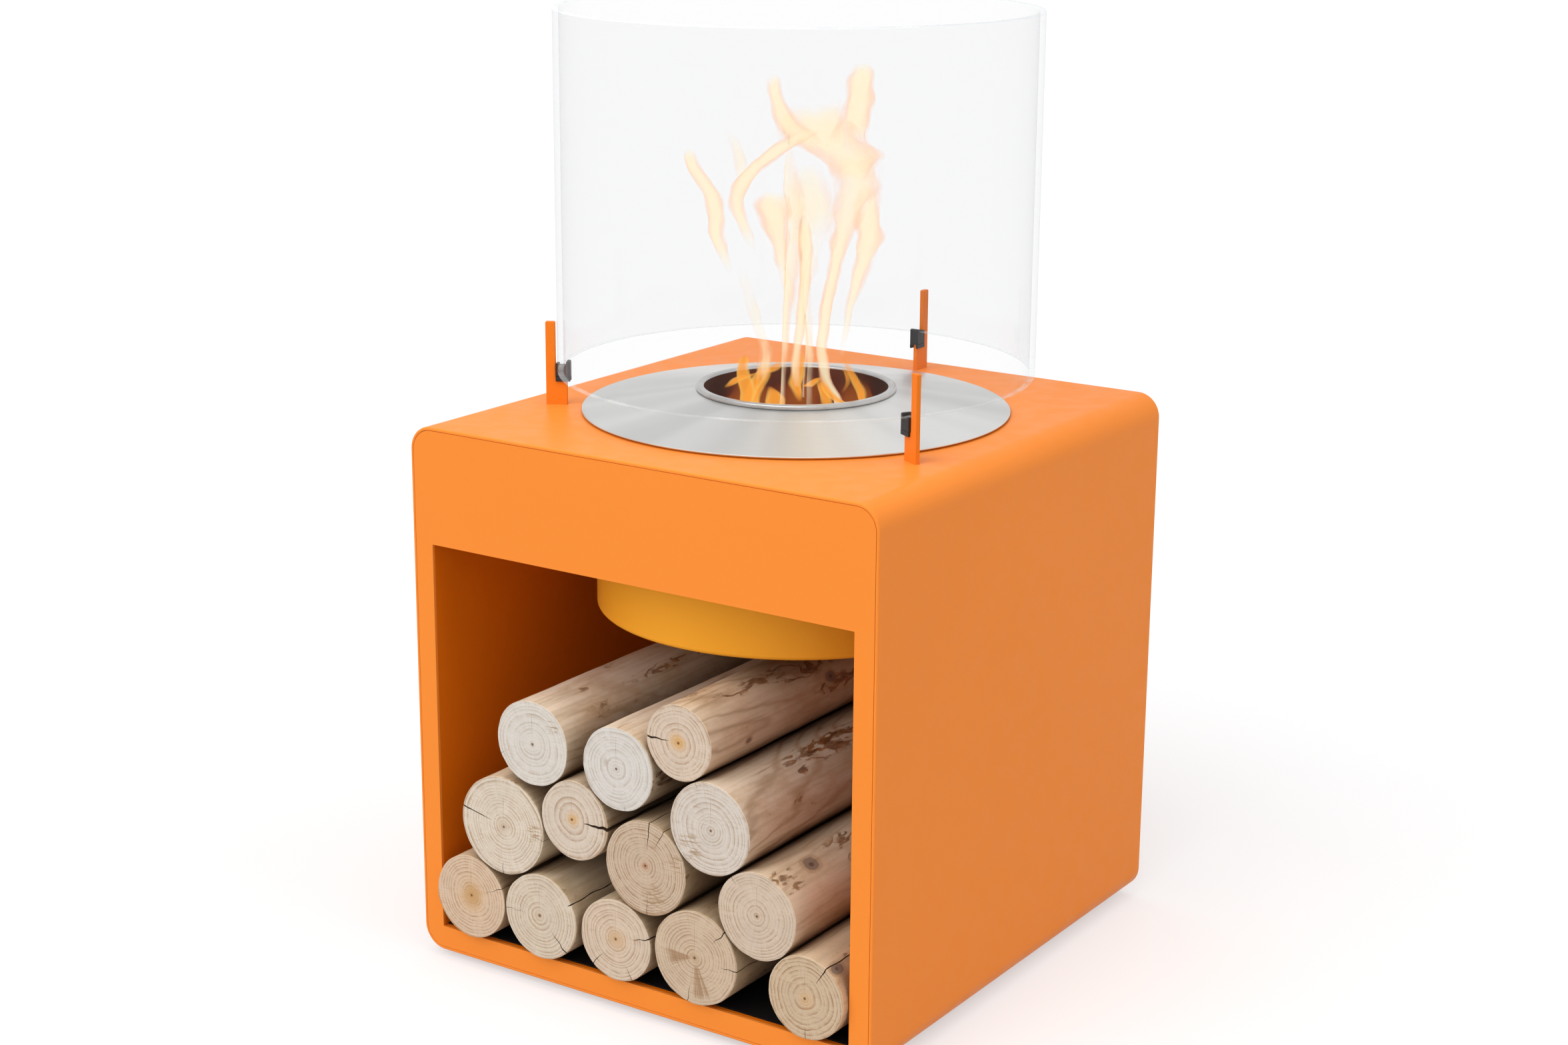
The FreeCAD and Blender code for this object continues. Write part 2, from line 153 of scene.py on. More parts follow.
def add_mesh(name, verts, faces, looks, face_looks=None, sharp=SHARP, weld=True):
    mesh = bpy.data.meshes.new(name)
    mesh.from_pydata([(x * MM, y * MM, z * MM) for x, y, z in verts], [], faces)
    for look in looks:
        mesh.materials.append(LOOKS[look])
    if face_looks is not None:
        mesh.polygons.foreach_set("material_index", face_looks)
    work = bmesh.new()
    work.from_mesh(mesh)
    if weld:
        bmesh.ops.remove_doubles(work, verts=work.verts, dist=1e-6)
    bmesh.ops.recalc_face_normals(work, faces=work.faces)
    work.to_mesh(mesh)
    work.free()
    smooth(mesh, sharp)
    return show(name, mesh)


def place(obj, body, slot, *nodes):
    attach(obj, body)
    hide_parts(*nodes)
    if not body.startswith("log_"):
        even = obj.modifiers.new("even", "WEIGHTED_NORMAL")
        even.keep_sharp = True


def loft(rings, closed_rings=True):
    """Quads between rings of equal length, each ring closed on itself."""
    count = len(rings[0])
    verts = [p for ring in rings for p in ring]
    faces = []
    pairs = len(rings) if closed_rings else len(rings) - 1
    for i in range(pairs):
        a = i * count
        b = ((i + 1) % len(rings)) * count
        for j in range(count):
            k = (j + 1) % count
            faces.append((a + j, a + k, b + k, b + j))
    return verts, faces


def oblong(x0, x1, z0, z1):
    """The corners of an upright oblong, anticlockwise."""
    return [(x0, z0), (x1, z0), (x1, z1), (x0, z1)]


def rounded(points, radii, steps):
    """A closed 2-D outline with its corners rounded."""
    out = []
    for i, (p, r) in enumerate(zip(points, radii)):
        here = Vector(p)
        if r <= 0:
            out.append(tuple(here))
            continue
        u = (Vector(points[i - 1]) - here).normalized()
        v = (Vector(points[(i + 1) % len(points)]) - here).normalized()
        half = acos(max(-1.0, min(1.0, u.dot(v)))) / 2
        reach = r / tan(half)
        centre = here + (u + v).normalized() * (r / sin(half))
        start = here + u * reach - centre
        end = here + v * reach - centre
        sweep = -start.angle_signed(end)
        for s in range(steps + 1):
            turn = Matrix.Rotation(sweep * s / steps, 2)
            out.append(tuple(centre + turn @ start))
    return out


def inset(points, d):
    """The outline moved inwards by d, for outlines that run anticlockwise."""
    out = []
    for i, here in enumerate(points):
        p = Vector(here)
        a = (p - Vector(points[i - 1])).normalized()
        b = (Vector(points[(i + 1) % len(points)]) - p).normalized()
        na = Vector((-a.y, a.x))
        nb = Vector((-b.y, b.x))
        m = na + nb
        m = m.normalized() if m.length > 1e-6 else na
        out.append(tuple(p + m * (d / max(0.4, m.dot(na)))))
    return out


def lathe(profile, sides=192):
    turns = [tau * k / sides for k in range(sides)]
    return loft([[(r * cos(a), r * sin(a), z) for a in turns] for r, z in profile])


def turned_to(turn):
    """Takes (outwards, sideways, up) to a point, for a piece at this turn round the axis."""
    a = radians(turn)
    out = Vector((cos(a), sin(a)))
    side = Vector((-out.y, out.x))

    def to_point(u, t, w):
        return (out.x * u + side.x * t, out.y * u + side.y * t, w)

    return to_point


def prism(outline, low, high, edge, to_point):
    """A flat outline given thickness, with both its long edges broken."""
    inner = inset(outline, edge)
    levels = [(inner, low), (outline, low + edge), (outline, high - edge), (inner, high)]
    rings = [[to_point(u, t, w) for u, w in line] for line, t in levels]
    verts, faces = loft(rings, closed_rings=False)
    count = len(outline)
    faces.append(tuple(range(count - 1, -1, -1)))
    last = 3 * count
    faces.append(tuple(range(last, last + count)))
    return verts, faces


def join(parts):
    verts, faces = [], []
    for v, f in parts:
        shift = len(verts)
        verts += v
        faces += [tuple(i + shift for i in face) for face in f]
    return verts, faces


def cut(obj, cutters):
    """Takes the cutters out of the object and keeps the result as its mesh."""
    for cutter in cutters:
        taken = obj.modifiers.new("cut", "BOOLEAN")
        taken.operation = "DIFFERENCE"
        taken.solver = "EXACT"
        taken.object = cutter
    shown = obj.evaluated_get(bpy.context.evaluated_depsgraph_get())
    made = bpy.data.meshes.new_from_object(shown)
    obj.modifiers.clear()
    obj.data = made
    smooth(made, SHARP)
    for cutter in cutters:
        bpy.data.objects.remove(cutter)
    return obj


# Node helpers for the materials. A value is a number, a colour or another node's output.


class Nodes:
    """Short words for adding nodes to one tree."""

    def __init__(self, tree):
        self.tree = tree

    def fill(self, made, values):
        for key, value in values.items():
            socket = made.inputs[key]
            if isinstance(value, bpy.types.NodeSocket):
                self.tree.links.new(value, socket)
            elif socket.type == "RGBA":
                socket.default_value = (*value, 1.0)
            else:
                socket.default_value = value

    def node(self, kind, values=None, **props):
        made = self.tree.nodes.new("ShaderNode" + kind)
        for key, value in props.items():
            setattr(made, key, value)
        self.fill(made, values or {})
        return made

    def calc(self, operation, a, b=0.0, c=0.0):
        return self.node("Math", {0: a, 1: b, 2: c}, operation=operation).outputs[0]

    def mul(self, first, *others):
        for other in others:
            first = self.calc("MULTIPLY", first, other)
        return first

    def mul_add(self, a, b, c):
        return self.calc("MULTIPLY_ADD", a, b, c)

    def shake(self, value, grain, reach):
        """Shifts a value to and fro with a noise."""
        return self.mul_add(self.calc("SUBTRACT", grain, 0.5), reach, value)

    def wave(self, value, turns):
        return self.mul_add(self.calc("SINE", self.mul(value, tau * turns)), 0.5, 0.5)

    def step(self, value, low, high, out_low=0.0, out_high=1.0):
        ends = {"From Min": low, "From Max": high, "To Min": out_low, "To Max": out_high}
        made = self.node("MapRange", {"Value": value, **ends}, interpolation_type="SMOOTHSTEP")
        return made.outputs[0]

    def tint(self, share, a, b, blend="MIX"):
        made = self.node("Mix", {0: share, 6: a, 7: b}, data_type="RGBA", blend_type=blend)
        return made.outputs[2]

    def times(self, a, b):
        return self.tint(1.0, a, b, "MULTIPLY")

    def over(self, under, colour, value, low, high, most=1.0):
        """Lays a colour over another as the value goes from low to high."""
        return self.tint(self.step(value, low, high, 0.0, most), under, colour)

    def grey(self, value):
        return self.node("CombineColor", {0: value, 1: value, 2: value}).outputs[0]

    def grain(self, vector, scale, detail=2.0, rough=0.5, distortion=0.0):
        values = {"Vector": vector, "Scale": scale, "Detail": detail}
        values |= {"Roughness": rough, "Distortion": distortion}
        return self.node("TexNoise", values).outputs["Fac"]

    def streak(self, vector, x, y, z, detail=2.0, rough=0.5):
        """Noise with its own scale along each axis."""
        return self.grain(self.stretch(vector, x, y, z), 1.0, detail, rough)

    def vec(self, operation, a, b=(0.0, 0.0, 0.0)):
        made = self.node("VectorMath", {0: a, 1: b}, operation=operation)
        number = operation in ("LENGTH", "DISTANCE", "DOT_PRODUCT")
        return made.outputs["Value" if number else "Vector"]

    def stretch(self, vector, x, y, z):
        return self.vec("MULTIPLY", vector, (x, y, z))

    def xyz(self, x, y, z):
        return self.node("CombineXYZ", {0: x, 1: y, 2: z}).outputs[0]

    def split(self, vector):
        return self.node("SeparateXYZ", {0: vector}).outputs

    def coat(self, main, colour, rough, shine):
        self.fill(main, {"Base Color": colour, "Roughness": rough, "Specular IOR Level": shine})

    def bump(self, main, height, strength, distance):
        values = {"Height": height, "Strength": strength, "Distance": distance}
        self.fill(main, {"Normal": self.node("Bump", values).outputs[0]})

    def surface(self, share, a, b):
        """Mixes two shaders and makes them the material's surface."""
        mixed = self.node("MixShader", {0: share, 1: a.outputs[0], 2: b.outputs[0]})
        self.fill(self.tree.nodes["Material Output"], {"Surface": mixed.outputs[0]})

    def seen(self):
        """One for camera, glossy and transmission rays, else nothing."""
        path = self.node("LightPath").outputs
        either = self.calc("MAXIMUM", path["Is Camera Ray"], path["Is Glossy Ray"])
        return self.calc("MAXIMUM", either, path["Is Transmission Ray"])


# Colours of the paint and the glass.
ORANGE = (0.93, 0.270, 0.038)
# The liners inside the store: the casing's orange darkened, painted shade for the inside of the store.
SHADED_STORE_ORANGE = (0.78, 0.165, 0.003)
# The well's paint: its own yellower orange, made brighter as painted light on the well, which lies in the
# shade of the top.
WELL_ORANGE_BRIGHTENED = (1.0, 0.42, 0.03)
BRACKET_ORANGE = (0.78, 0.20, 0.016)
GLASS_FACE = (0.974, 0.974, 0.975)
GLASS_SIDE = (0.865, 0.867, 0.875)
GLASS_MIRROR = (0.9, 0.9, 0.9)
GLASS_GROUND = (0.93, 0.95, 0.95)


def dim(colour, share):
    return tuple(c * share for c in colour)


def shader(name):
    """Adds a material to LOOKS and gives its nodes, main shader and object coordinates."""
    LOOKS[name] = bpy.data.materials.new(name)
    LOOKS[name].use_nodes = True
    t = Nodes(LOOKS[name].node_tree)
    main = t.tree.nodes["Principled BSDF"]
    return t, main, t.node("TexCoord").outputs["Object"]


def paint(name, colour, rough=0.4):
    """Powder coat: a faint cloud in the colour and a fine orange-peel skin."""
    t, main, at = shader(name)
    base = t.tint(t.grain(at, 7.0, 3.0), dim(colour, 0.955), colour)
    speck = t.mul_add(t.grain(at, 1900.0), 0.06, 0.97)
    skin = t.step(t.grain(at, 60.0), 0.3, 0.7, rough - 0.04, rough + 0.05)
    t.coat(main, t.times(base, t.grey(speck)), skin, 0.08)
    t.bump(main, t.grain(at, 950.0), 0.10, 0.0002)


def steel(name, colour, rough, ring_scale, lift, across):
    """Turned and brushed steel, with its fine rings round the upright axis and a painted highlight that
    varies round it.
    """
    t, main, at = shader(name)
    x, y, z = t.split(at)
    flat = t.xyz(x, y, 0.0)
    way = t.vec("NORMALIZE", flat)
    line = t.xyz(t.mul(t.vec("LENGTH", flat), ring_scale), 0.0, t.mul(z, ring_scale))
    scratch = t.grain(t.vec("ADD", way, line), 1.0, 5.0, 0.7)
    smear = t.grain(at, 26.0, 3.0)
    # Painted highlight: the colour brightens and darkens with the angle round the axis, standing in for
    # the fans of highlights on brushed steel.
    sweep = t.step(t.grain(way, 1.6, 2.0, 0.6), 0.35, 0.65, 0.86, 1.06)
    brushed = t.tint(scratch, dim(colour, 0.86), colour)
    both = t.mul_add(smear, 0.5, t.mul(scratch, 0.5))
    t.fill(main, {
        "Base Color": t.times(brushed, t.grey(sweep)),
        "Metallic": 1.0,
        "Roughness": t.step(both, 0.25, 0.75, rough - 0.07, rough + 0.08),
        "Anisotropic": across,
        "Tangent": t.node("Tangent", direction_type="RADIAL", axis="Z").outputs[0],
    })
    t.bump(main, scratch, lift, 0.0001)


def dull(name, low, high, scale, rough, lift, distance, shine=0.4):
    """A plain dull stuff whose colour and skin come from noise."""
    t, main, at = shader(name)
    mottle = t.grain(at, scale, 4.0, 0.6)
    skin = t.step(mottle, 0.3, 0.7, rough - 0.08, rough + 0.08)
    t.coat(main, t.tint(mottle, low, high), skin, shine)
    t.bump(main, t.grain(at, scale * 6.0, 3.0), lift, distance)


def glass_material():
    """Clear thin glass: light goes straight through, its edges grey a little, it mirrors faintly."""
    t, main, at = shader("clear_glass")
    t.tree.nodes.remove(main)
    edge = t.calc("POWER", t.node("LayerWeight", {"Blend": 0.3}).outputs["Facing"], 4.0)
    clear = t.node("BsdfTransparent", {"Color": t.tint(edge, GLASS_FACE, GLASS_SIDE)})
    film = t.step(t.grain(at, 5.0), 0.3, 0.7, 0.01, 0.04)
    mirror = t.node("BsdfGlossy", {"Color": GLASS_MIRROR, "Roughness": film})
    t.surface(t.mul_add(edge, 0.42, 0.010), clear, mirror)


def glass_edge_material():
    """The ground edges of the glass, which catch the light."""
    t, main, at = shader("glass_edge")
    rough = t.step(t.grain(at, 90.0), 0.3, 0.7, 0.15, 0.35)
    t.fill(main, {"Base Color": GLASS_GROUND, "Roughness": rough})
    clear = t.node("BsdfTransparent", {"Color": GLASS_GROUND})
    t.surface(t.step(t.grain(at, 45.0), 0.3, 0.7, 0.10, 0.28), clear, main)


paint("orange_paint", ORANGE)
paint("shaded_store_paint", SHADED_STORE_ORANGE, 0.5)
paint("well_paint", WELL_ORANGE_BRIGHTENED, 0.45)
paint("bracket_paint", BRACKET_ORANGE, 0.45)

# Dull stuffs: darkest and lightest colour, noise scale, roughness, bump and its height, shine.
dull("black_mat", (0.003, 0.003, 0.003), (0.009, 0.008, 0.008), 320.0, 0.85, 0.5, 0.0004, 0.15)
dull("black_clip", (0.012, 0.012, 0.013), (0.022, 0.022, 0.023), 400.0, 0.5, 0.2, 0.0002)
dull("foot_rubber", (0.012, 0.012, 0.012), (0.03, 0.03, 0.03), 220.0, 0.8, 0.3, 0.0003)
dull("ceramic_wool", (0.42, 0.37, 0.30), (0.80, 0.75, 0.68), 210.0, 0.95, 0.8, 0.002)
# Inside of the cracks: dark wood, darkened further as painted shade of the recess.
dull("crack_wood", (0.035, 0.018, 0.008), (0.13, 0.07, 0.03), 240.0, 0.9, 0.4, 0.0005)

# Steels: colour, roughness, ring scale, bump, brushing.
steel("zinc_steel", (0.62, 0.62, 0.60), 0.35, 900.0, 0.1, 0.0)
steel("burner_steel", (0.745, 0.745, 0.735), 0.35, 1400.0, 0.14, 0.5)
steel("collar_steel", (0.56, 0.55, 0.535), 0.25, 1400.0, 0.04, 0.3)
steel("sooty_steel", (0.26, 0.090, 0.035), 0.42, 700.0, 0.1, 0.2)
steel("vessel_steel", (0.20, 0.14, 0.10), 0.38, 900.0, 0.1, 0.4)

glass_material()
glass_edge_material()

for cad_name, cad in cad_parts.items():
    for held in cad.material_slots:
        name = held.material.name.split(".")[0] if held.material else ""
        if name in LOOKS:
            # Liners take the darker copy of the orange paint, as painted shade.
            held.material = LOOKS["shaded_store_paint" if cad_name.startswith("liner_") else name]


# Casing.


def ring_xz(outline, y):
    return [(x, y, z) for x, z in outline]


def casing_shell():
    lo, hi = wrap_low, wrap_high
    outer = rounded(oblong(lo.x, hi.x, lo.z, hi.z), [BEND_RADIUS] * 4, 14)
    inside = oblong(lo.x + SHEET, hi.x - SHEET, lo.z + SHEET, hi.z - SHEET)
    inner = rounded(inside, [BEND_RADIUS - SHEET] * 4, 14)
    edge = []
    for k in range(EDGE_STEPS + 1):
        bend = pi / 2 * k / EDGE_STEPS
        line = inset(outer, EDGE_ROUND * (1 - sin(bend)))
        edge.append((line, EDGE_ROUND * (1 - cos(bend))))
    rings = [ring_xz(line, lo.y + d) for line, d in edge]
    rings += [ring_xz(line, hi.y - d) for line, d in reversed(edge)]
    broken = inset(inner, -EDGE_BREAK)
    rings += [ring_xz(broken, hi.y), ring_xz(inner, hi.y - EDGE_BREAK)]
    rings += [ring_xz(inner, lo.y + EDGE_BREAK), ring_xz(broken, lo.y)]
    shell = add_mesh("casing_shell", *loft(rings), ["orange_paint"])
    under, above = hi.z - CUT_REACH, hi.z + CUT_REACH
    drum = lathe(oblong(0.0, well_high.x + HOLE_PLAY, under, above))
    cutters = [add_mesh("drum", *drum, [])]
    half = BRACKET_PLATE / 2 + SLOT_PLAY
    outline = oblong(BRACKET_INNER - SLOT_PLAY, BRACKET_OUTER + SLOT_PLAY, under, above)
    for turn in BRACKET_TURNS.values():
        cutters.append(add_mesh("slot", *prism(outline, -half, half, 0.01, turned_to(turn)), []))
    place(cut(shell, cutters), "casing", "orange_paint", "casing_wrap")


def front_panel():
    lo, hi = node_box("front_frame")
    outer = rounded(oblong(lo.x, hi.x, lo.z, hi.z), [FRAME_CORNER] * 4, 12)
    opening = oblong(-opening_half, opening_half, opening_low, opening_top)
    hole = rounded(opening, [OPENING_CORNER] * 4, 12)
    soft = FRAME_BREAK * 0.3
    edge = [(FRAME_BREAK, 0.0), (soft, soft), (0.0, FRAME_BREAK)]
    rings = [ring_xz(inset(outer, d), lo.y + y) for d, y in edge]
    rings += [ring_xz(outer, hi.y), ring_xz(hole, hi.y)]
    rings += [ring_xz(inset(hole, -d), lo.y + y) for d, y in reversed(edge)]
    panel = add_mesh("front_panel", *loft(rings), ["orange_paint"])
    place(panel, "casing", "orange_paint", "front_frame")


# Well, burner plate, collar, glass and wool, all turned about the upright axis.


def well_can():
    out = well_high.x
    inner = out - WELL_WALL
    low, base = (corner.z for corner in node_box("well_bottom"))
    top = well_high.z
    points = [(0.0, low), (out, low), (out, top), (inner, top), (inner, base), (0.0, base)]
    profile = rounded(points, [0, WELL_CORNER, 0, 0, WELL_CORNER - WELL_WALL, 0], 8)
    can = add_mesh("well_can", *lathe(profile, 224), ["well_paint"])
    place(can, "casing", "well_paint", "burner_well", "well_bottom")


def plate_disc():
    out = plate_high.x
    rise = PLATE_RISE_RADIUS
    hole = throat_out + THROAT_PLAY
    low, top = plate_low.z, plate_high.z
    under = top - PLATE_THICK
    points = [(hole, under), (rise, under), (out, low), (out, low + PLATE_THICK), (rise, top), (hole, top)]
    profile = rounded(points, [0, 3.0, 0.3, 0.55, 4.0, 0], 5)
    disc = add_mesh("plate_disc", *lathe(profile, 256), ["burner_steel"])
    place(disc, "burner", "burner_steel", "burner_plate")


def collar_ring():
    inner = throat_out - THROAT_WALL
    out = collar_high.x
    low, top = collar_low.z, collar_high.z
    foot = plate_high.z + COLLAR_SEAT
    points = [(inner, low), (throat_out, low), (throat_out, foot), (out, foot), (out, top), (inner, top)]
    profile = rounded(points, [0.4, 0.4, 0, 0.9, COLLAR_ROUND, COLLAR_ROUND], 8)
    ring = add_mesh("collar_ring", *lathe(profile, 224), ["collar_steel", "sooty_steel"])
    for face in ring.data.polygons:
        if face.center.z < (top - COLLAR_BRIGHT) * MM:
            face.material_index = 1
    place(ring, "burner", "burner_steel", "burner_collar")


def glass_tube():
    out = glass_high.x
    inner = out - glass_wall
    lo, hi = glass_low.z, glass_high.z
    points = [(inner, lo), (out, lo), (out, lo + GLASS_RIM), (out, hi - GLASS_RIM)]
    points += [(out, hi), (inner, hi), (inner, hi - GLASS_RIM), (inner, lo + GLASS_RIM)]
    profile = rounded(points, [GLASS_ROUND, GLASS_ROUND, 0, 0] * 2, 6)
    tube = add_mesh("glass_tube", *lathe(profile, 256), ["clear_glass", "glass_edge"])
    for face in tube.data.polygons:
        if abs(face.normal.z) > 0.3:
            face.material_index = 1
    place(tube, "glass", "clear_glass", "glass_cylinder")


def wool_ring():
    """Soft wool: a turned ring with a rough, puffed skin."""
    low, high = node_box("burner_wool")
    out, lo, hi = high.x, low.z, high.z
    coarse = rounded(oblong(WOOL_INNER, out, lo, hi), [3, 3, 9, 9], 6)
    profile = []
    for i, p in enumerate(coarse):
        q = coarse[(i + 1) % len(coarse)]
        parts = max(1, int(dist(p, q) / WOOL_STEP))
        for k in range(parts):
            f = k / parts
            profile.append((p[0] + (q[0] - p[0]) * f, p[1] + (q[1] - p[1]) * f))
    verts, faces = lathe(profile, 180)
    puffed = []
    mid_r, mid_z = (WOOL_INNER + out) / 2, (lo + hi) / 2
    for x, y, z in verts:
        r = hypot(x, y)
        lump = noise.fractal(Vector((x, y, z)) * 0.11, 1.0, 2.0, 4) * 0.9 + 1.0
        pull = max(0.0, min(WOOL_PUFF, lump * 1.1))
        new_r = r + (pull if r < mid_r else -pull)
        new_z = z + (pull if z < mid_z else -pull)
        puffed.append((x * new_r / r, y * new_r / r, new_z))
    ring = add_mesh("wool_ring", puffed, faces, ["ceramic_wool"], sharp=80.0)
    place(ring, "burner", "ceramic_wool", "burner_wool")


# Brackets and clips.


def bracket(name, turn):
    low, high = node_box("glass_bracket_" + name)
    under = wrap_high.z - SHEET
    shoulder = node_box("glass_clip_" + name)[0].z + SHOULDER
    points = [(BRACKET_INNER, under), (BRACKET_OUTER, under), (BRACKET_OUTER, high.z)]
    points += [(BRACKET_STEP, high.z), (BRACKET_STEP, shoulder), (BRACKET_INNER, shoulder)]
    outline = rounded(points, [0.2, 0.2, 1.1, 1.1, 0.4, 0.5], 5)
    half = BRACKET_PLATE / 2
    to_point = turned_to(turn)
    blade = prism(outline, -half, half, 0.45, to_point)
    middle = (low + high) / 2
    reach = hypot(middle.x, middle.y)
    foot = rounded(oblong(reach - PAD_REACH, reach + PAD_REACH, low.z, under), [0.5] * 4, 3)
    pad = prism(foot, -PAD_HALF, PAD_HALF, 0.4, to_point)
    made = add_mesh("bracket_" + name, *join([blade, pad]), ["bracket_paint"], weld=False)
    place(made, "casing", "orange_paint", "glass_bracket_" + name)


def clip(name, turn):
    low, high = node_box("glass_clip_" + name)
    shoulder = low.z + SHOULDER + CLIP_SEAT
    floor = glass_low.z - GLASS_SEAT
    outer_top = low.z + CLIP_OUTER_RISE
    inner_top = high.z - CLIP_SHORT
    points = [(CLIP_INNER, shoulder), (CLIP_OUTER, shoulder), (CLIP_OUTER, outer_top)]
    points += [(GROOVE_OUTER, outer_top), (GROOVE_OUTER, floor), (GROOVE_INNER, floor)]
    points += [(GROOVE_INNER, inner_top), (CLIP_INNER, inner_top)]
    outline = rounded(points, [0, 0, 0.9, 0.6, 0.3, 0.3, 0.9, 1.2], 4)
    to_point = turned_to(turn)
    top = prism(outline, -CLIP_HALF, CLIP_HALF, 0.5, to_point)
    skirt = rounded(oblong(CLIP_INNER, CLIP_OUTER, low.z, shoulder), [0.6, 0.6, 0, 0], 3)
    gap = BRACKET_PLATE / 2 + CLIP_PLAY
    left = prism(skirt, -CLIP_HALF, -gap, 0.3, to_point)
    right = prism(skirt, gap, CLIP_HALF, 0.3, to_point)
    made = add_mesh("clip_" + name, *join([top, left, right]), ["black_clip"], weld=False)
    place(made, "casing", "black_clip", "glass_clip_" + name)


casing_shell()
front_panel()
well_can()
plate_disc()
collar_ring()
glass_tube()
wool_ring()
for bracket_name, bracket_turn in BRACKET_TURNS.items():
    bracket(bracket_name, bracket_turn)
    clip(bracket_name, bracket_turn)


# Colours of the wood. Each log also has its own for the wood and the ring lines.
TAN_LINE = (0.54, 0.37, 0.235)
WHITE_LINE = (0.66, 0.54, 0.43)
WARM_LINE = (0.54, 0.34, 0.18)
HEART = (0.42, 0.24, 0.11)
RED_HEART = (0.46, 0.17, 0.07)
AMBER = (0.66, 0.36, 0.11)
PITH = (0.10, 0.045, 0.02)
SAW_MARK = (0.36, 0.23, 0.12)
WEDGE = (0.30, 0.16, 0.07)
CHECK = (0.12, 0.06, 0.03)
SIDE_PALE = (0.675, 0.56, 0.405)
SIDE_GREY = (0.447, 0.358, 0.24)
TAN = (0.46, 0.30, 0.155)
DASH = (0.33, 0.21, 0.11)
FIGURE = (0.41, 0.265, 0.13)
STAIN = (0.20, 0.10, 0.045)
BARK_DARK = (0.15, 0.07, 0.025)
BARK_LIGHT = (0.40, 0.21, 0.08)

# What multiplies the side's colour: painted light near the front where the light falls in, old wood, and
# painted shade in deep crevices.
PAINTED_FRONT_LIGHT = (1.45, 1.43, 1.36)
AGED = (1.05, 1.20, 1.23)
SHADED = (0.30, 0.225, 0.17)

# The layers of a knot: colour, where it starts and is full in shares of the size, strength.
KNOT = [
    ((0.40, 0.25, 0.12), 1.7, 1.1, 0.45),
    ((0.25, 0.19, 0.15), 1.05, 0.85, 0.8),
    ((0.11, 0.075, 0.05), 0.5, 0.2, 0.8),
]

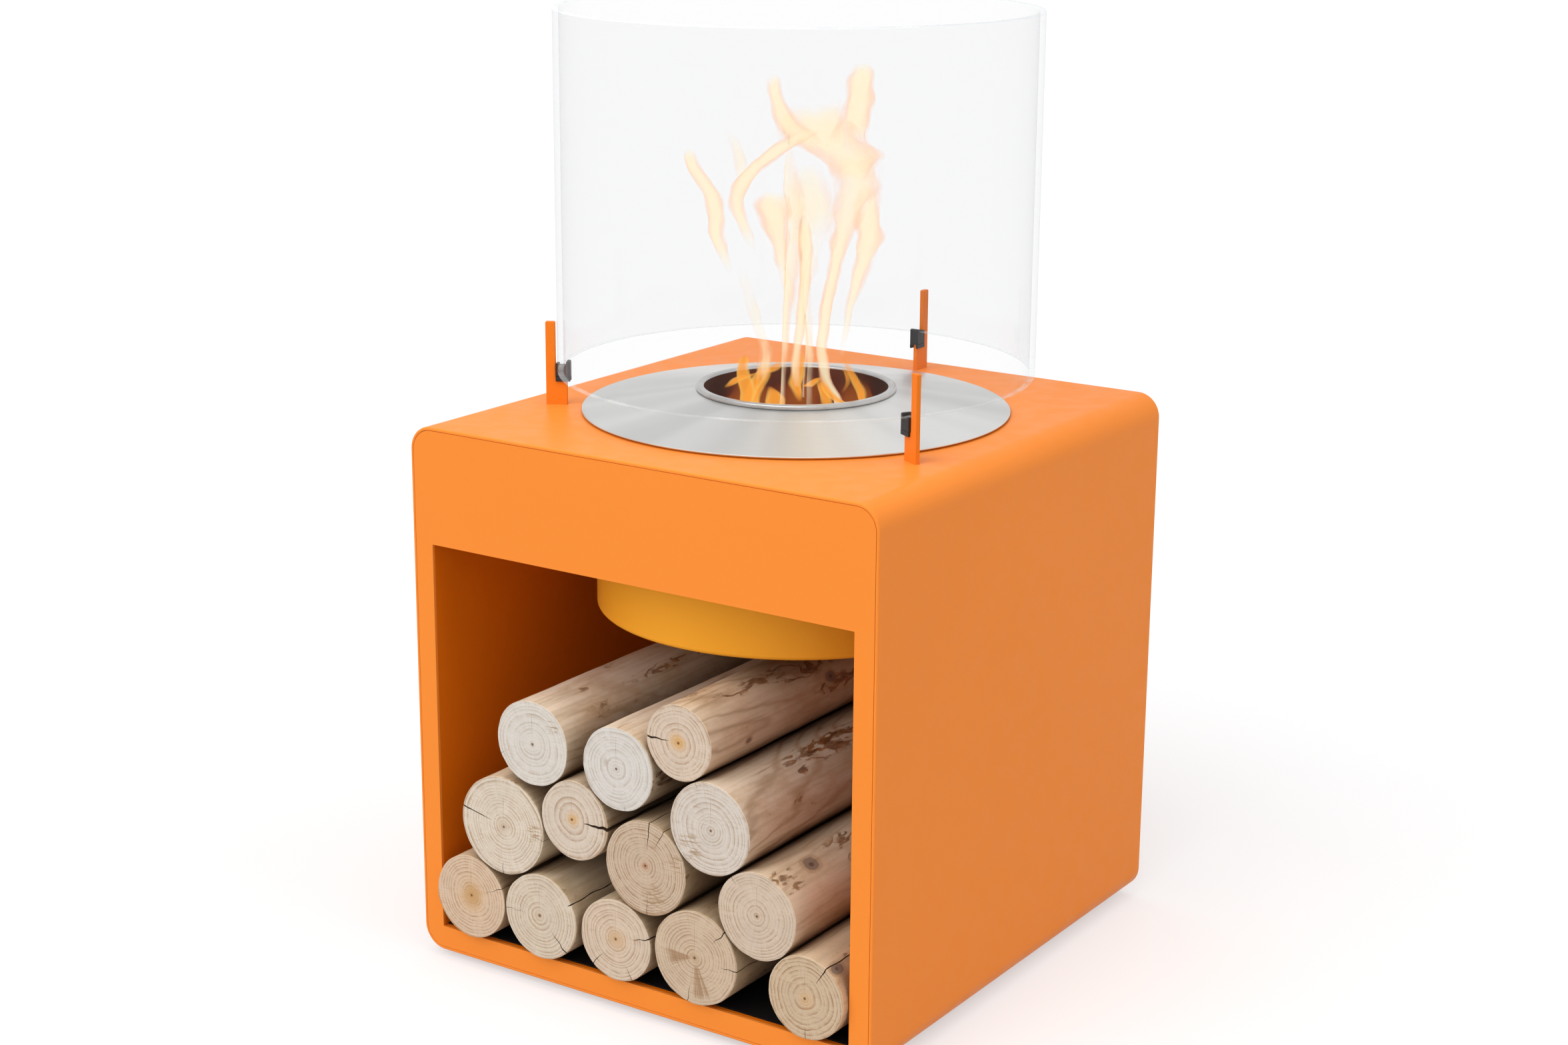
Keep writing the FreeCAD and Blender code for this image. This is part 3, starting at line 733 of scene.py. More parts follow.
# A log's crack is (clock hour, share of the radius where it starts, width, depth, run along the side).
# A wedge is (hour, half width in hours, start, end), a saw mark (hour, reach, size).
# A knot is (distance from the front, hour, size), a blot of bark (distance, hour, length, width).
LOGS = {
    "log_01": dict(wood=(0.67, 0.5, 0.36), pitch=2.8, pith=(0.02, 0.04), heart=(0.42, 0.75),
        dark=0.5, halo=(0.5, 0.45), cracks=[(2.2, 0.45, 0.5, 5, 25)]),
    "log_02": dict(wood=(0.66, 0.56, 0.445), pitch=3.1, pith=(-0.03, 0.02), heart=(0.12, 0.4),
        dark=0.25, cracks=[(4.5, 0.45, 1.1, 8, 50), (9.0, 0.4, 0.4, 4, 20), (2.0, 0.9, 0.9, 6, 230)]),
    "log_03": dict(wood=(0.66, 0.53, 0.41), pitch=2.9, pith=(0.0, 0.03), heart=(0.3, 0.35),
        dark=0.5, halo=(0.35, 0.35),
        cracks=[(2.5, 0.5, 1.1, 8, 160), (7.4, 0.55, 0.7, 6, 30), (5.1, 0.6, 0.5, 4, 20)]),
    "log_04": dict(wood=(0.6, 0.465, 0.335), pitch=2.6, pith=(-0.02, 0.0), heart=(0.12, 0.5),
        dark=0.6, cracks=[(1.5, 0.6, 0.9, 7, 190), (3.1, 0.6, 0.7, 6, 140), (6.4, 0.6, 0.5, 4, 20)],
        wedges=[(5.6, 0.45, 0.1, 0.95), (8.7, 0.55, 0.05, 0.75)]),
    "log_05": dict(wood=(0.59, 0.45, 0.31), line=WARM_LINE, pitch=3.7, pith=(-0.02, -0.02),
        heart=(0.1, 0.4), dark=0.5, age=1.0, wobble=4.2, halo=(0.3, 0.35),
        cracks=[(1.1, 0.5, 0.9, 7, 170), (6.0, 0.7, 0.5, 4, 15)], knots=[(11, 1.3, 4.6)],
        blots=[(60, 1.0, 30, 5), (120, 2.2, 40, 6)]),
    "log_06": dict(wood=(0.7, 0.61, 0.5), pitch=2.8, pith=(0.03, -0.02), heart=(0.2, 0.3),
        dark=0.3, cracks=[(9.4, 0.25, 1.2, 9, 50), (6.0, 0.75, 0.6, 4, 20), (3.2, 0.8, 0.4, 4, 15)],
        saw=[(3.0, 0.75, 0.25)]),
    "log_07": dict(wood=(0.585, 0.45, 0.33), pitch=2.7, pith=(0.0, 0.06), heart=(0.13, 0.7),
        dark=0.95, red=True,
        cracks=[(12.2, 0.4, 0.9, 8, 60), (0.9, 0.55, 0.6, 5, 30), (5.9, 0.45, 0.4, 4, 15)],
        saw=[(5.4, 0.7, 0.4), (2.5, 0.85, 0.3)]),
    "log_08": dict(wood=(0.63, 0.51, 0.4), pitch=3.1, pith=(0.0, 0.0), heart=(0.12, 0.35),
        dark=0.35, age=1.0, figure=0.3, cracks=[(10.6, 0.8, 0.4, 4, 20)], knots=[(49, 1.0, 5.6)],
        blots=[(13, 0.9, 11, 6), (16, 1.5, 8, 3), (98, 0.7, 14, 5), (135, 1.6, 30, 4)]),
    "log_09": dict(wood=(0.66, 0.56, 0.46), line=WARM_LINE, pitch=4.6, pith=(-0.08, 0.02),
        heart=(0.1, 0.6), dark=0.35, halo=(0.26, 0.8), cracks=[(3.0, 0.28, 3.0, 16, 110)]),
    "log_10": dict(wood=(0.68, 0.63, 0.57), line=WHITE_LINE, pitch=3.6, pith=(0.0, -0.02),
        heart=(0.08, 0.3), dark=0.12, figure=0.3, cracks=[(8.2, 0.85, 0.3, 3, 15)],
        saw=[(1.6, 0.75, 0.22)], knots=[(53, 0.6, 2.0)], blots=[(54, 0.62, 5, 2.2), (150, 1.2, 40, 3)]),
    "log_11": dict(wood=(0.67, 0.635, 0.59), line=WHITE_LINE, pitch=3.6, pith=(-0.04, 0.0),
        heart=(0.08, 0.3), dark=0.12, cracks=[(5.6, 0.85, 0.3, 3, 15)], wedges=[(9.6, 0.5, 0.22, 0.42)],
        blots=[(20, 3.2, 26, 6), (44, 2.9, 20, 4)]),
    "log_12": dict(wood=(0.66, 0.59, 0.52), pitch=3.3, pith=(0.03, -0.02), heart=(0.1, 0.3),
        dark=0.2, age=1.0, figure=0.55, cracks=[(11.3, 0.85, 0.3, 3, 20)], saw=[(7.6, 0.68, 0.36)],
        blots=[(104, 0.95, 22, 5), (122, 0.7, 30, 4), (138, 1.1, 26, 6),
            (160, 0.8, 30, 5), (90, 1.5, 10, 3)]),
    "log_13": dict(wood=(0.66, 0.54, 0.43), line=WARM_LINE, pitch=3.8, pith=(-0.02, 0.0),
        heart=(0.1, 0.6), dark=0.4, age=1.0, figure=0.5, halo=(0.3, 0.85),
        cracks=[(9.0, 0.3, 1.7, 11, 60)], knots=[(53, 3.4, 2.8), (172, 2.2, 4.5)],
        blots=[(96, 0.8, 40, 5), (150, 1.4, 30, 4), (185, 2.6, 26, 5)]),
}


def clock(hour):
    """The angle of a clock hour on a log's front end."""
    return radians(90 - 30 * hour)


def apart(a, b):
    return abs((a - b + pi) % tau - pi)


def end_grain(t, spec, seed, big, shifted, flat, quick):
    """Colour of a log's ends: growth rings, heart, stains, saw marks and checks."""
    light = spec["wood"]
    line = tuple(a * b for a, b in zip(light, spec.get("line", TAN_LINE)))
    pitch = spec["pitch"] * MM
    wobble = spec.get("wobble", 2.9) * MM
    away = t.vec("LENGTH", flat)
    slow = t.streak(shifted, 24.0, 8.4, 24.0, 1.0)
    bent = t.shake(t.shake(away, slow, wobble * 2.2), quick, wobble * 0.6)
    where = t.mul_add(bent, 1.0 / (pitch * 3.2), seed)
    years = t.node("TexNoise", {"W": where, "Scale": 1.0, "Detail": 1.0}, noise_dimensions="1D")
    count = t.mul(t.shake(bent, years.outputs["Fac"], pitch * 1.5), 1 / pitch)
    year = t.calc("FRACT", count)
    ring = t.mul(t.calc("POWER", year, 2.0), t.step(year, 1.0, 0.86))
    thin = t.mul(t.step(year, 0.72, 0.88), t.step(year, 1.0, 0.93))
    own = t.node("TexWhiteNoise", {"W": t.calc("FLOOR", count)}, noise_dimensions="1D")
    tone = t.step(own.outputs["Value"], 0.0, 1.0, 0.45, 1.0)
    broken = t.step(t.grain(shifted, 85.0, 4.0, 0.7), 0.36, 0.60, 0.2, 1.0)
    drawn = t.mul(tone, broken)
    outer = t.step(away, big * 0.35, big * 0.9, 0.25, 1.0)

    spread = t.vec("NORMALIZE", flat)
    rays = t.grain(spread, 27.0, 3.0, 0.7)
    cloud = t.grain(shifted, 40.0, 3.0)
    hatch = t.streak(shifted, 70.0, 70.0, 520.0, 3.0, 0.6)
    bright = tuple(min(0.92, c * 1.02) for c in light)
    end = t.tint(t.mul(ring, drawn), bright, line)
    end = t.tint(t.mul(thin, outer, drawn, spec["dark"]), end, dim(line, 0.55))
    end = t.over(end, line, hatch, 0.55, 0.75, 0.30)
    end = t.over(end, line, rays, 0.45, 0.75, 0.22)
    end = t.over(end, dim(light, 0.8), cloud, 0.45, 0.75, 0.28)

    hazy = t.shake(away, cloud, big * 0.35)
    starry = t.shake(hazy, rays, big * 0.55)
    heart_share, heart_depth = spec["heart"]
    heart = RED_HEART if spec.get("red") else HEART
    end = t.over(end, heart, starry, big * heart_share, big * heart_share * 0.1, heart_depth)
    if "halo" in spec:
        halo, glow = spec["halo"]
        end = t.over(end, AMBER, starry, big * halo * 1.15, 0.0, glow)
    for hour, reach, size in spec.get("saw", []):
        a = clock(hour)
        spot = (cos(a) * reach * big, 0.0, sin(a) * reach * big)
        mask = t.step(t.vec("DISTANCE", flat, spot), big * size, big * size * 0.5)
        end = t.tint(t.mul(mask, t.step(hatch, 0.50, 0.58, 0.0, 0.75)), end, SAW_MARK)
    end = t.over(end, PITH, away, 1.5 * MM, 0.8 * MM, 0.85)
    for hour, half, near, far in spec.get("wedges", []):
        a = clock(hour)
        lean = t.vec("DOT_PRODUCT", spread, (cos(a), 0.0, sin(a)))
        edge = cos(radians(30 * half))
        inside = t.step(t.shake(lean, rays, 0.34), edge - 0.02, edge + 0.02)
        start = t.step(hazy, big * near, big * (near + 0.1))
        stop = t.step(hazy, big * far, big * (far - 0.2))
        end = t.tint(t.mul(inside, start, stop, 0.7), end, WEDGE)
    split = t.step(t.grain(spread, 36.4, 1.0), 0.69, 0.73)
    around = t.mul(t.step(away, 2 * MM, 6 * MM), t.step(hazy, big * 0.75, big * 0.45))
    end = t.tint(t.mul(split, around, 0.55), end, CHECK)
    return t.over(end, line, away, big * 0.97, big, 0.5)


def side_grain(t, spec, centre, radius, at, shifted, quick, fibre):
    """Colour of a log's side: fibre, figure, stains, remains of bark and knots, with painted light near
    the front and painted shade in the gaps between logs.
    """
    patch = t.streak(shifted, 34.0, 15.3, 34.0, 5.0, 0.7)
    dash = t.streak(shifted, 150.0, 11.0, 150.0, 3.0, 0.6)
    pale = tuple(min(0.85, 0.5 * a + 0.5 * b) for a, b in zip(spec["wood"], SIDE_PALE))
    side = t.over(pale, SIDE_GREY, fibre, 0.35, 0.75, 0.6)
    side = t.over(side, TAN, patch, 0.42, 0.68, 0.5)
    side = t.over(side, DASH, dash, 0.63, 0.72, 0.55)
    depth = t.split(at)[1]
    front, behind = front_y * MM, (front_y + LIGHT_AND_AGE_REACH) * MM
    # Painted light: the side is lit brighter near the front of the store, fading out over the reach behind
    # the front.
    side = t.over(side, t.times(side, PAINTED_FRONT_LIGHT), depth, behind, front, 0.85)
    side = t.over(side, t.times(side, AGED), depth, front - AGE_LEAD * MM, behind, spec.get("age", 0.0))
    hills = t.streak(shifted, 13.0, 2.86, 13.0, 1.0)
    contour = t.calc("POWER", t.wave(t.mul_add(quick, 0.05, hills), 13), 6.0)
    side = t.tint(t.mul(contour, spec.get("figure", 0.22)), side, FIGURE)
    side = t.over(side, STAIN, patch, 0.62, 0.71, 0.75)

    def away_from(along, hour):
        a = clock(hour)
        x = centre[0] + radius * cos(a)
        z = centre[1] + radius * sin(a)
        return t.vec("SUBTRACT", at, (x * MM, (front_y + along) * MM, z * MM))

    rough = t.streak(shifted, 170.0, 68.0, 170.0, 4.0, 0.7)
    worm = t.wave(t.streak(shifted, 62.0, 20.46, 62.0, 2.0, 0.55), 6.5)
    worm = t.step(t.mul_add(rough, 0.5, worm), 0.80, 1.05)
    bark = t.over(BARK_DARK, BARK_LIGHT, rough, 0.35, 0.65)
    for along, hour, length, width in spec.get("blots", []):
        gap = t.vec("LENGTH", t.stretch(away_from(along, hour), 1 / width, 1 / length, 1 / width))
        gap = t.shake(gap, rough, 2.2 * MM)
        near = t.step(gap, 1.7 * MM, 0.9 * MM)
        full = t.step(gap, 0.75 * MM, 0.25 * MM)
        side = t.tint(t.mul(near, t.calc("MAXIMUM", worm, full), 0.85), side, bark)
    for along, hour, size in spec.get("knots", []):
        gap = t.vec("LENGTH", t.stretch(away_from(along, hour), 1.0, 0.65, 1.0))
        gap = t.shake(gap, quick, size * 0.9 * MM)
        gap = t.shake(gap, rough, size * 0.5 * MM)
        for colour, start, full, most in KNOT:
            side = t.over(side, colour, gap, size * start * MM, size * full * MM, most)
    # Painted shade: the side is darkened where little open sky reaches it, in the gaps between and under
    # the logs.
    open_sky = t.node("AmbientOcclusion", {"Distance": 0.05}, samples=4).outputs["AO"]
    return t.over(side, t.times(side, SHADED), open_sky, 0.85, 0.15, 0.85)


def wood(name, spec, centre, radius, seed):
    """Wood of one log: rings round its pith on the ends, long fibre and figure on the side."""
    t, main, at = shader(name + "_wood")
    pith_x, pith_z = [(c + share * radius) * MM for c, share in zip(centre, spec["pith"])]
    flat = t.stretch(t.vec("SUBTRACT", at, (pith_x, 0.0, pith_z)), 1.0, 0.0, 1.0)
    shifted = t.vec("ADD", at, (seed * 1.7, seed * 0.9, 0.0))
    quick = t.streak(shifted, 95.0, 28.5, 95.0)
    fibre = t.streak(shifted, 260.0, 7.0, 260.0, 4.0, 0.65)
    end = end_grain(t, spec, seed, radius * MM, shifted, flat, quick)
    side = side_grain(t, spec, centre, radius, at, shifted, quick, fibre)
    facing = t.split(t.node("TexCoord").outputs["Normal"])[1]
    is_end = t.step(t.calc("ABSOLUTE", facing), 0.55, 0.85)
    speck = t.mul_add(t.grain(shifted, 1500.0), 0.22, 0.89)
    colour = t.times(t.tint(is_end, side, end), t.grey(speck))
    t.coat(main, colour, t.step(fibre, 0.2, 0.8, 0.68, 0.86), 0.25)
    saw = t.streak(shifted, 40.0, 40.0, 900.0, 3.0)
    skin = t.mul_add(is_end, t.calc("SUBTRACT", saw, fibre), fibre)
    t.bump(main, skin, 0.30, 0.0006)


def log_columns(cracks, base):
    """Angles of the lengthwise lines, a close triple at each crack: (angle, crack or -1, side)."""
    centres = [clock(crack[0]) % tau for crack in cracks]
    columns = []
    for k in range(base):
        a = tau * k / base
        if all(apart(a, c) > 0.75 * tau / base for c in centres):
            columns.append((a, -1, 0))
    for i, c in enumerate(centres):
        columns += [(c - 1e-4, i, -1), (c, i, 0), (c + 1e-4, i, 1)]
    return sorted(columns, key=lambda item: item[0] % tau), centres


def make_log(name, spec, seed):
    low, high = node_box(name)
    cx, cz = (low.x + high.x) / 2, (low.z + high.z) / 2
    radius = (high.x - low.x) / 2
    y0, y1 = low.y, high.y
    front = y0 + random.Random(seed).uniform(0.0, LOG_PUSH)
    length = y1 - front
    cracks = spec["cracks"]
    columns, centres = log_columns(cracks, LOG_COLUMNS)
    drift = Vector((seed * 13.7, seed * 5.1, 0))

    def bumpy(a, y):
        """How far the side lies inside the CAD radius."""
        p = Vector((cos(a) * 1.1, y * 0.006, sin(a) * 1.1)) + drift
        q = Vector((cos(a) * 3.4, y * 0.03, sin(a) * 3.4)) + drift
        return max(0.0, LOG_BUMP * (1 + noise.noise(p)) + LOG_RIPPLE * noise.noise(q))

    def chip(a, salt):
        """How far the rim of an end is broken away."""
        return RIM_CHIP + 0.35 * ripple(cos(a) * 7, sin(a) * 7, salt)

    def bend(a, share, y):
        """Turns lines near a crack so that the crack wanders."""
        t = share * 2.0 + (y - y0) * 0.02
        extra = 0.0
        for i, c in enumerate(centres):
            wiggle = CRACK_WANDER * ripple(t * 3.1, i * 7.3, seed)
            extra += wiggle * max(0.0, 1 - apart(a, c) / 0.5) ** 2
        return a + extra

    def opening(i, share, y):
        """Width and depth of a crack where it meets this ring or this row."""
        hour, start, width, depth, run = cracks[i]
        if y > front + run:
            return 0.0, 0.0
        reach = max(0.0, (share - start) / max(0.05, 1 - start))
        along = max(0.0, 1 - (y - front) / run)
        rough = 1 + 0.35 * ripple(share * 9, y * 0.15, i + seed)
        part = reach**0.6 * along**0.5
        return width * part * rough, depth * part

    def end_ring(share, is_front):
        ring = []
        for a, i, s in columns:
            salt = seed if is_front else seed + 9
            r = (radius - bumpy(a, y0 if is_front else y1) - chip(a, salt)) * share
            turn = bend(a, share, front) if is_front else a
            sawn = ripple(cos(a) * r * 0.2, sin(a) * r * 0.2, seed)
            lift = SAW_LIFT * (1 + sawn)
            y = front + lift if is_front else y1 - lift
            if is_front and i >= 0:
                width, depth = opening(i, share, front)
                turn += s * max(1e-4, width / 2 / max(r, 2.0))
                if s == 0:
                    y += depth
            ring.append((cx + r * cos(turn), y, cz + r * sin(turn)))
        return ring

    def side_ring(along):
        ring = []
        y = front + along
        near = max(0.0, 1 - along / 0.8) ** 2
        far = max(0.0, 1 - (y1 - y) / 2.0) ** 2
        for a, i, s in columns:
            r = radius - bumpy(a, y) - chip(a, seed) * 0.8 * near - far
            turn = bend(a, 1.0, y)
            if i >= 0:
                width, depth = opening(i, 1.0, y)
                turn += s * max(1e-4, width / 2 / r)
                if s == 0:
                    r -= min(depth * 0.9, radius * 0.5)
            ring.append((cx + r * cos(turn), y, cz + r * sin(turn)))
        return ring

    shares = [0.0, 0.03, 0.06] + [0.06 + 0.94 * k / LOG_RINGS for k in range(1, LOG_RINGS + 1)]
    rows = [0.15, 0.4, 0.8, 1.6]
    along = 3.0
    while along < length - 8:
        rows.append(along)
        along += max(1.5, min(9.0, 1.5 + 0.07 * along))
    rows += [length - 4, length - 1.2]
    rings = [end_ring(share, True) for share in shares]
    rings += [side_ring(along) for along in rows]
    rings += [end_ring(share, False) for share in reversed(shares)]
    verts, faces = loft(rings, closed_rings=False)

    count = len(columns)
    levels = [(share, front) for share in shares] + [(1.0, front + along) for along in rows]
    marks = []
    for n in range(len(faces)):
        row, j = divmod(n, count)
        i = columns[j][1]
        width = 0.0
        if i >= 0 and i == columns[(j + 1) % count][1]:
            width = opening(i, *levels[min(row, len(levels) - 1)])[0]
        marks.append(1 if width > CRACK_SEEN else 0)
    wood(name, spec, (cx, cz), radius, seed)
    # Crack faces take the dark wood with painted shade.
    looks = [name + "_wood", "crack_wood"]
    obj = add_mesh("wood_" + name, verts, faces, looks, marks, sharp=50.0, weld=False)
    place(obj, name, "log_wood", name)


for number, (log_name, log_spec) in enumerate(LOGS.items()):
    make_log(log_name, log_spec, number + 3)


# Flames: thin glowing sheets over the burner's mouth, drawn in upright planes.
# A sheet is (turn of its plane, depth, points ...), in mm.
# A point is (across, height, width, strength in percent).

VIEW_TURN = 33.75
FLAME_ROWS = 46
FLAME_COLUMNS = 12
FLAME_DROP = 5.0
FLAME_RAGGED = 0.45
FLAME_BULGE = 0.22
FLAME_SWAY = 6.0
FLAMES = {
    "high": [
        (0, 0, (31, -18, 8, 40), (34, -8, 9, 80), (25, 8, 10, 90), (21, 30, 11, 95), (22, 53, 11, 95),
         (25, 75, 12, 95), (30, 98, 13, 90), (34, 117, 16, 85), (38, 133, 22, 80), (42, 150, 32, 75),
         (47, 167, 40, 70), (45, 184, 46, 60), (39, 196, 40, 10)),
        (4, 7, (38, 26, 4, 15), (41, 47, 6, 40), (44, 68, 8, 55), (49, 86, 12, 70), (55, 105, 19, 80),
         (59, 124, 25, 85), (57, 141, 26, 80), (57, 158, 22, 60), (55, 171, 14, 10)),
        (-3, 3, (45, 167, 30, 10), (43, 179, 44, 75), (38, 190, 56, 80), (24, 200, 72, 80),
         (16, 211, 74, 75), (14, 220, 70, 60), (13, 228, 64, 30), (13, 235, 56, 2)),
        (3, 5, (41, 199, 34, 30), (44, 216, 30, 75), (48, 232, 25, 80), (50, 244, 24, 78),
         (51, 253, 24, 70), (51, 260, 20, 45), (51, 265, 12, 4)),
        (-5, 1, (4, 199, 40, 30), (-6, 213, 28, 75), (-13, 225, 20, 80), (-18, 236, 16, 75),
         (-20, 244, 14, 70), (-21, 251, 12, 40), (-21, 256, 6, 3)),
        (-8, -2, (11, 212, 26, 20), (-9, 200, 22, 85), (-24, 189, 19, 90), (-38, 177, 18, 90),
         (-48, 162, 16, 90), (-49, 147, 14, 80), (-43, 132, 13, 60), (-38, 118, 9, 30), (-35, 111, 4, 2)),
        (10, -12, (-14, 96, 5, 10), (-15, 108, 11, 70), (-16, 122, 18, 90), (-18, 136, 25, 90),
         (-20, 148, 31, 85), (-21, 157, 33, 60), (-20, 165, 26, 5)),
        (-10, -9, (2, 4, 9, 30), (1, 18, 10, 70), (2, 34, 10, 85), (4, 53, 9, 85), (6, 73, 10, 85),
         (8, 94, 11, 90), (9, 115, 13, 85), (8, 132, 12, 60), (8, 145, 6, 5)),
        (12, -4, (-55, 98, 5, 5), (-60, 112, 10, 50), (-66, 128, 14, 75), (-66, 144, 16, 80),
         (-70, 160, 17, 85), (-78, 174, 15, 80), (-85, 185, 13, 75), (-88, 193, 12, 50), (-88, 199, 7, 4)),
        (6, 12, (11, 103, 16, 2), (13, 120, 34, 34), (14, 139, 46, 46), (12, 158, 44, 46),
         (9, 173, 34, 30), (6, 182, 20, 2)),
        (-8, 16, (-47, 165, 10, 5), (-48, 177, 14, 42), (-51, 190, 12, 46), (-55, 201, 10, 30),
         (-62, 209, 8, 2)),
        (0, -20, (-29, 10, 10, 10), (-26, 22, 12, 50), (-24, 36, 12, 46), (-31, 56, 11, 36),
         (-39, 83, 13, 34), (-45, 105, 9, 10)),
        (4, 22, (13, 12, 8, 20), (13, 26, 9, 42), (9, 45, 9, 36), (-2, 70, 11, 40), (-8, 90, 12, 34),
         (-9, 107, 6, 5)),
        (70, 4, (-20, -14, 12, 36), (-13, 24, 13, 63), (-6, 66, 20, 68), (4, 105, 30, 63),
         (9, 141, 36, 59), (6, 175, 30, 50), (-4, 203, 16, 27), (-8, 222, 5, 5)),
        (98, -10, (26, -12, 10, 36), (23, 28, 10, 54), (13, 68, 16, 63), (19, 103, 22, 59),
         (30, 132, 18, 45), (34, 154, 8, 9)),
        (125, 6, (-30, -8, 10, 32), (-32, 32, 10, 40), (-24, 71, 14, 44), (-32, 109, 18, 40),
         (-43, 137, 12, 24), (-49, 154, 5, 4)),
    ],
    "base": [
        (8, -6, (-41, -28, 10, 60), (-41, -8, 12, 90), (-40, 0, 16, 95), (-42, 7, 19, 90),
         (-44, 14, 14, 85), (-45, 21, 11, 80), (-44, 27, 10, 70), (-43, 31, 6, 10)),
        (-6, -2, (-40, -24, 10, 50), (-38, -6, 12, 90), (-35, 1, 12, 90), (-31, 8, 12, 85),
         (-27, 17, 10, 70), (-25, 26, 9, 30), (-24, 33, 8, 2)),
        (2, -10, (-59, 3, 4, 10), (-53, 7, 8, 70), (-48, 11, 11, 85), (-41, 14, 13, 60), (-36, 16, 8, 5)),
        (4, 14, (-38, 8, 10, 30), (-28, 10, 16, 60), (-19, 13, 14, 60), (-13, 18, 10, 45), (-8, 23, 4, 5)),
        (-8, -8, (-16, -28, 20, 60), (-16, -12, 20, 90), (-16, -6, 17, 90), (-18, -1, 11, 70),
         (-21, 4, 4, 5)),
        (0, -4, (3, -9, 5, 30), (1, 0, 9, 90), (-1, 6, 12, 95), (1, 13, 13, 95), (2, 20, 13, 90),
         (2, 28, 12, 60), (1, 36, 11, 25), (0, 44, 10, 2)),
        (6, -8, (4, 7, 5, 10), (8, 4, 8, 80), (12, 7, 9, 85), (16, 10, 7, 70), (19, 12, 4, 10)),
        (-4, -6, (19, 11, 5, 20), (22, 3, 9, 80), (25, -6, 10, 80), (26, -12, 10, 60), (26, -26, 9, 30)),
        (-6, -8, (48, -12, 10, 30), (38, -8, 10, 80), (31, -4, 10, 90), (26, 2, 9, 80), (23, 10, 8, 40),
         (21, 20, 6, 5)),
        (-12, -4, (56, -22, 6, 40), (55, -6, 8, 80), (54, 3, 9, 80), (50, 11, 9, 75), (46, 18, 8, 60),
         (42, 25, 7, 40), (40, 33, 4, 5)),
        (10, 10, (41, -6, 5, 30), (45, 2, 5, 50), (44, 10, 5, 45), (40, 16, 4, 5)),
        (40, 30, (-22, -24, 14, 60), (-16, -8, 12, 80), (-6, 8, 9, 60), (-4, 19, 4, 10)),
        (80, 34, (20, -24, 14, 60), (14, -8, 12, 80), (17, 9, 9, 60), (11, 23, 4, 10)),
    ],
    "veil": [
        (6, 26, (-36, -44, 50, 60), (-38, -24, 54, 90), (-36, -8, 46, 70), (-40, 6, 26, 10)),
        (-4, 34, (2, -44, 54, 60), (0, -24, 58, 90), (4, -6, 48, 70), (0, 8, 24, 10)),
        (-12, 26, (40, -44, 50, 60), (38, -24, 54, 90), (42, -8, 46, 70), (40, 6, 24, 10)),
    ],
}


def flame_material(name, level, rim_colour, core_colour, most):
    """Glow that is paler in a sheet's middle and thins out at its rim."""
    t, main, at = shader(name)
    t.tree.nodes.remove(main)
    parts = t.split(t.node("UVMap", uv_map="flame").outputs["UV"])
    wisp = t.grain(t.stretch(at, 1.0, 1.0, 0.35), 42.0, 3.0, 0.6, 0.6)
    core = t.step(t.mul_add(wisp, 0.5, parts[1]), 0.70, 1.25)
    thin = t.step(t.shake(parts[0], wisp, 0.9), 0.06, 0.85, 0.0, most)
    glow = t.node("Emission", {"Color": t.tint(core, rim_colour, core_colour), "Strength": level})
    t.surface(thin, t.node("BsdfTransparent"), glow)


def smooth_line(points, rows):
    """A smooth run through the points, as rows of the same numbers."""
    out = []
    last = len(points) - 1
    for k in range(rows + 1):
        t = last * k / rows
        i = min(last - 1, int(t))
        f = t - i
        a, b = points[max(0, i - 1)], points[i]
        c, d = points[i + 1], points[min(last, i + 2)]
        row = []
        for w, x, y, z in zip(a, b, c, d):
            cube = 3 * (x - y) + z - w
            row.append(x + 0.5 * f * (y - w + f * (2 * w - 5 * x + 4 * y - z + f * cube)))
        out.append(row)
    return out


def flame_sheet(number, look, turn, depth, *points):
    a = radians(VIEW_TURN + turn)
    across = Vector((cos(a), sin(a), 0))
    away = Vector((-sin(a), cos(a), 0))
    cols = FLAME_COLUMNS
    base = collar_high.z - FLAME_DROP
    verts, marks, faces = [], [], []
    for u, h, width, strength in smooth_line(points, FLAME_ROWS):
        for c in range(cols + 1):
            side = 2 * c / cols - 1
            middle = 1 - side * side
            ragged = 1 + FLAME_RAGGED * ripple(side * 2.5, h * 0.07, number)
            x = u + side * width * 0.5 * ragged
            sway = FLAME_SWAY * ripple(x * 0.02, h * 0.02, number)
            at = across * x + away * (depth + FLAME_BULGE * width * middle + sway)
            verts.append((at.x * MM, at.y * MM, (base + h) * MM))
            rim = 1 - abs(side) ** 3.2
            marks.append((max(0.0, strength / 100) * rim, 1 - side * side * 0.9))
    for r in range(FLAME_ROWS):
        for c in range(cols):
            i = r * (cols + 1) + c
            faces.append((i, i + 1, i + cols + 2, i + cols + 1))
    mesh = bpy.data.meshes.new(f"flame_{number:02d}")
    mesh.from_pydata(verts, [], faces)
    mesh.materials.append(LOOKS[look])
    held = mesh.uv_layers.new(name="flame")
    held.data.foreach_set("uv", [v for face in faces for i in face for v in marks[i]])
    mesh.polygons.foreach_set("use_smooth", [True] * len(mesh.polygons))
    obj = show(mesh.name, mesh)
    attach(obj, "burner")


flame_material("flame_high", 1.10, (1.0, 0.57, 0.35), (1.0, 0.85, 0.55), 0.78)
flame_material("flame_base", 1.05, (1.0, 0.52, 0.10), (1.0, 0.36, 0.035), 0.85)
flame_material("flame_veil", 0.60, (0.60, 0.08, 0.01), (0.90, 0.20, 0.015), 0.45)
sheets = [("flame_" + kind, *sheet) for kind in FLAMES for sheet in FLAMES[kind]]
for number, sheet in enumerate(sheets, 1):
    flame_sheet(number, *sheet)


# Floor, light and camera, in metres. A lamp is (name, level, spread, the way it comes from).

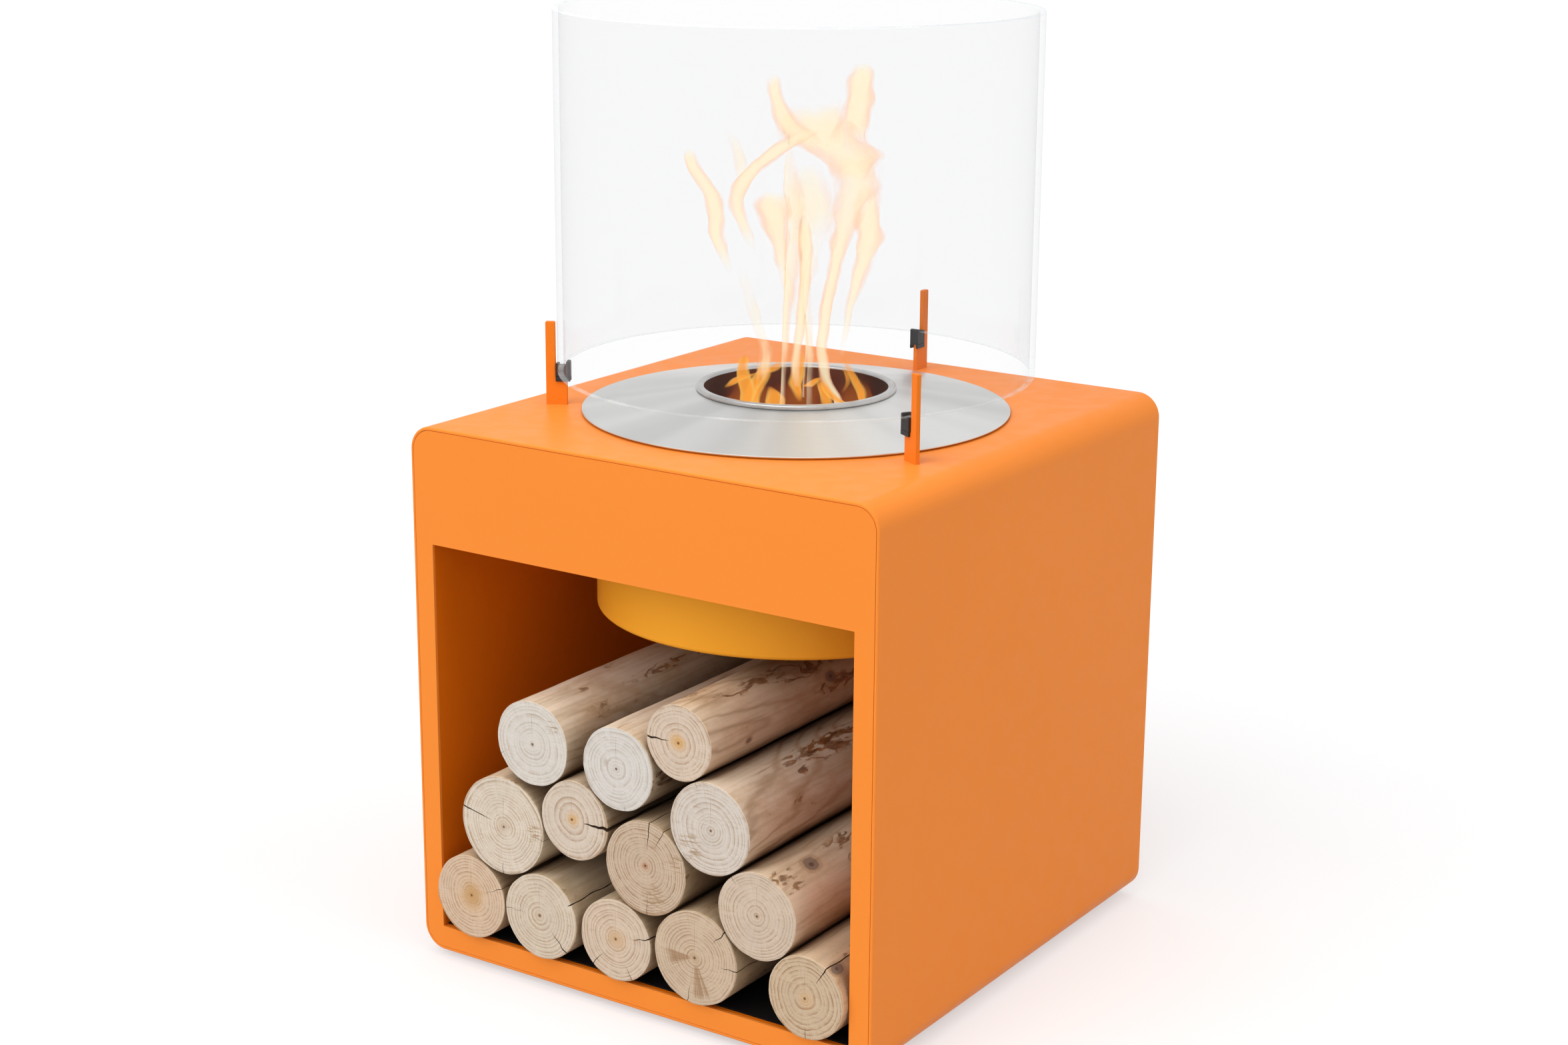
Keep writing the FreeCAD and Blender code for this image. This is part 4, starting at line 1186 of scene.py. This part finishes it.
WHITE = (1.0, 1.0, 1.0)
FLOOR_HALF = 60.0
FLOOR_COLOUR = (0.52, 0.522, 0.525)
FLOOR_GLOW = 0.50
SKY = 0.52
LAMPS = [
    ("key", 0.60, 75, (-0.15, -0.85, 0.50)),
    ("fill", 0.25, 60, (0.85, 0.35, 0.40)),
    ("top", 0.12, 70, (0.0, 0.0, 1.0)),
]
RIM_AT = (0.0, -0.27, 0.90)
RIM_TO = (0.0, -0.2, 0.45)
RIM_SIZE = (0.5, 0.2)
RIM_POWER = 0.9
CAMERA_AT = (1.17203, -1.77042, 0.93952)
CAMERA_DROP = 15.33
CAMERA_ROLL = 0.40
LENS = 61.04
SENSOR = 36.0


def aim(obj, way):
    obj.rotation_euler = Vector(way).to_track_quat("Z", "Y").to_euler()


def studio():
    corners = oblong(-FLOOR_HALF, FLOOR_HALF, -FLOOR_HALF, FLOOR_HALF)
    mesh = bpy.data.meshes.new("floor")
    mesh.from_pydata([(x, y, 0) for x, y in corners], [], [(0, 1, 2, 3)])
    floor = show("floor", mesh)
    t, main, at = shader("floor_white")
    t.coat(main, FLOOR_COLOUR, 1.0, 0.0)
    t.fill(main, {"Emission Color": WHITE, "Emission Strength": t.mul(t.seen(), FLOOR_GLOW)})
    mesh.materials.append(LOOKS["floor_white"])

    world = bpy.data.worlds.new("studio")
    bpy.context.scene.world = world
    world.use_nodes = True
    t = Nodes(world.node_tree)
    sky = t.step(t.seen(), 0.0, 1.0, SKY, 1.0)
    t.fill(t.tree.nodes["Background"], {"Color": WHITE, "Strength": sky})

    for lamp_name, level, spread, way in LAMPS:
        lamp = bpy.data.lights.new(lamp_name, "SUN")
        lamp.energy = level * pi
        lamp.angle = radians(spread)
        sun = show(lamp_name, lamp)
        aim(sun, way)
        sun.visible_glossy = False
    soft = bpy.data.lights.new("rim", "AREA")
    soft.shape = "RECTANGLE"
    soft.size, soft.size_y = RIM_SIZE
    soft.energy = RIM_POWER
    rim = show("rim", soft)
    rim.location = RIM_AT
    aim(rim, Vector(RIM_AT) - Vector(RIM_TO))


def camera():
    side = Matrix.Rotation(radians(VIEW_TURN), 4, "Z")
    drop = Matrix.Rotation(radians(90.0 - CAMERA_DROP), 4, "X")
    roll = Matrix.Rotation(radians(CAMERA_ROLL), 4, "Z")
    data = bpy.data.cameras.new("photo")
    data.lens = LENS
    data.sensor_width = SENSOR
    data.sensor_fit = "HORIZONTAL"
    cam = show("photo", data)
    cam.matrix_world = Matrix.Translation(CAMERA_AT) @ side @ drop @ roll
    bpy.context.scene.camera = cam


studio()
camera()
bpy.context.scene.view_settings.view_transform = "Standard"
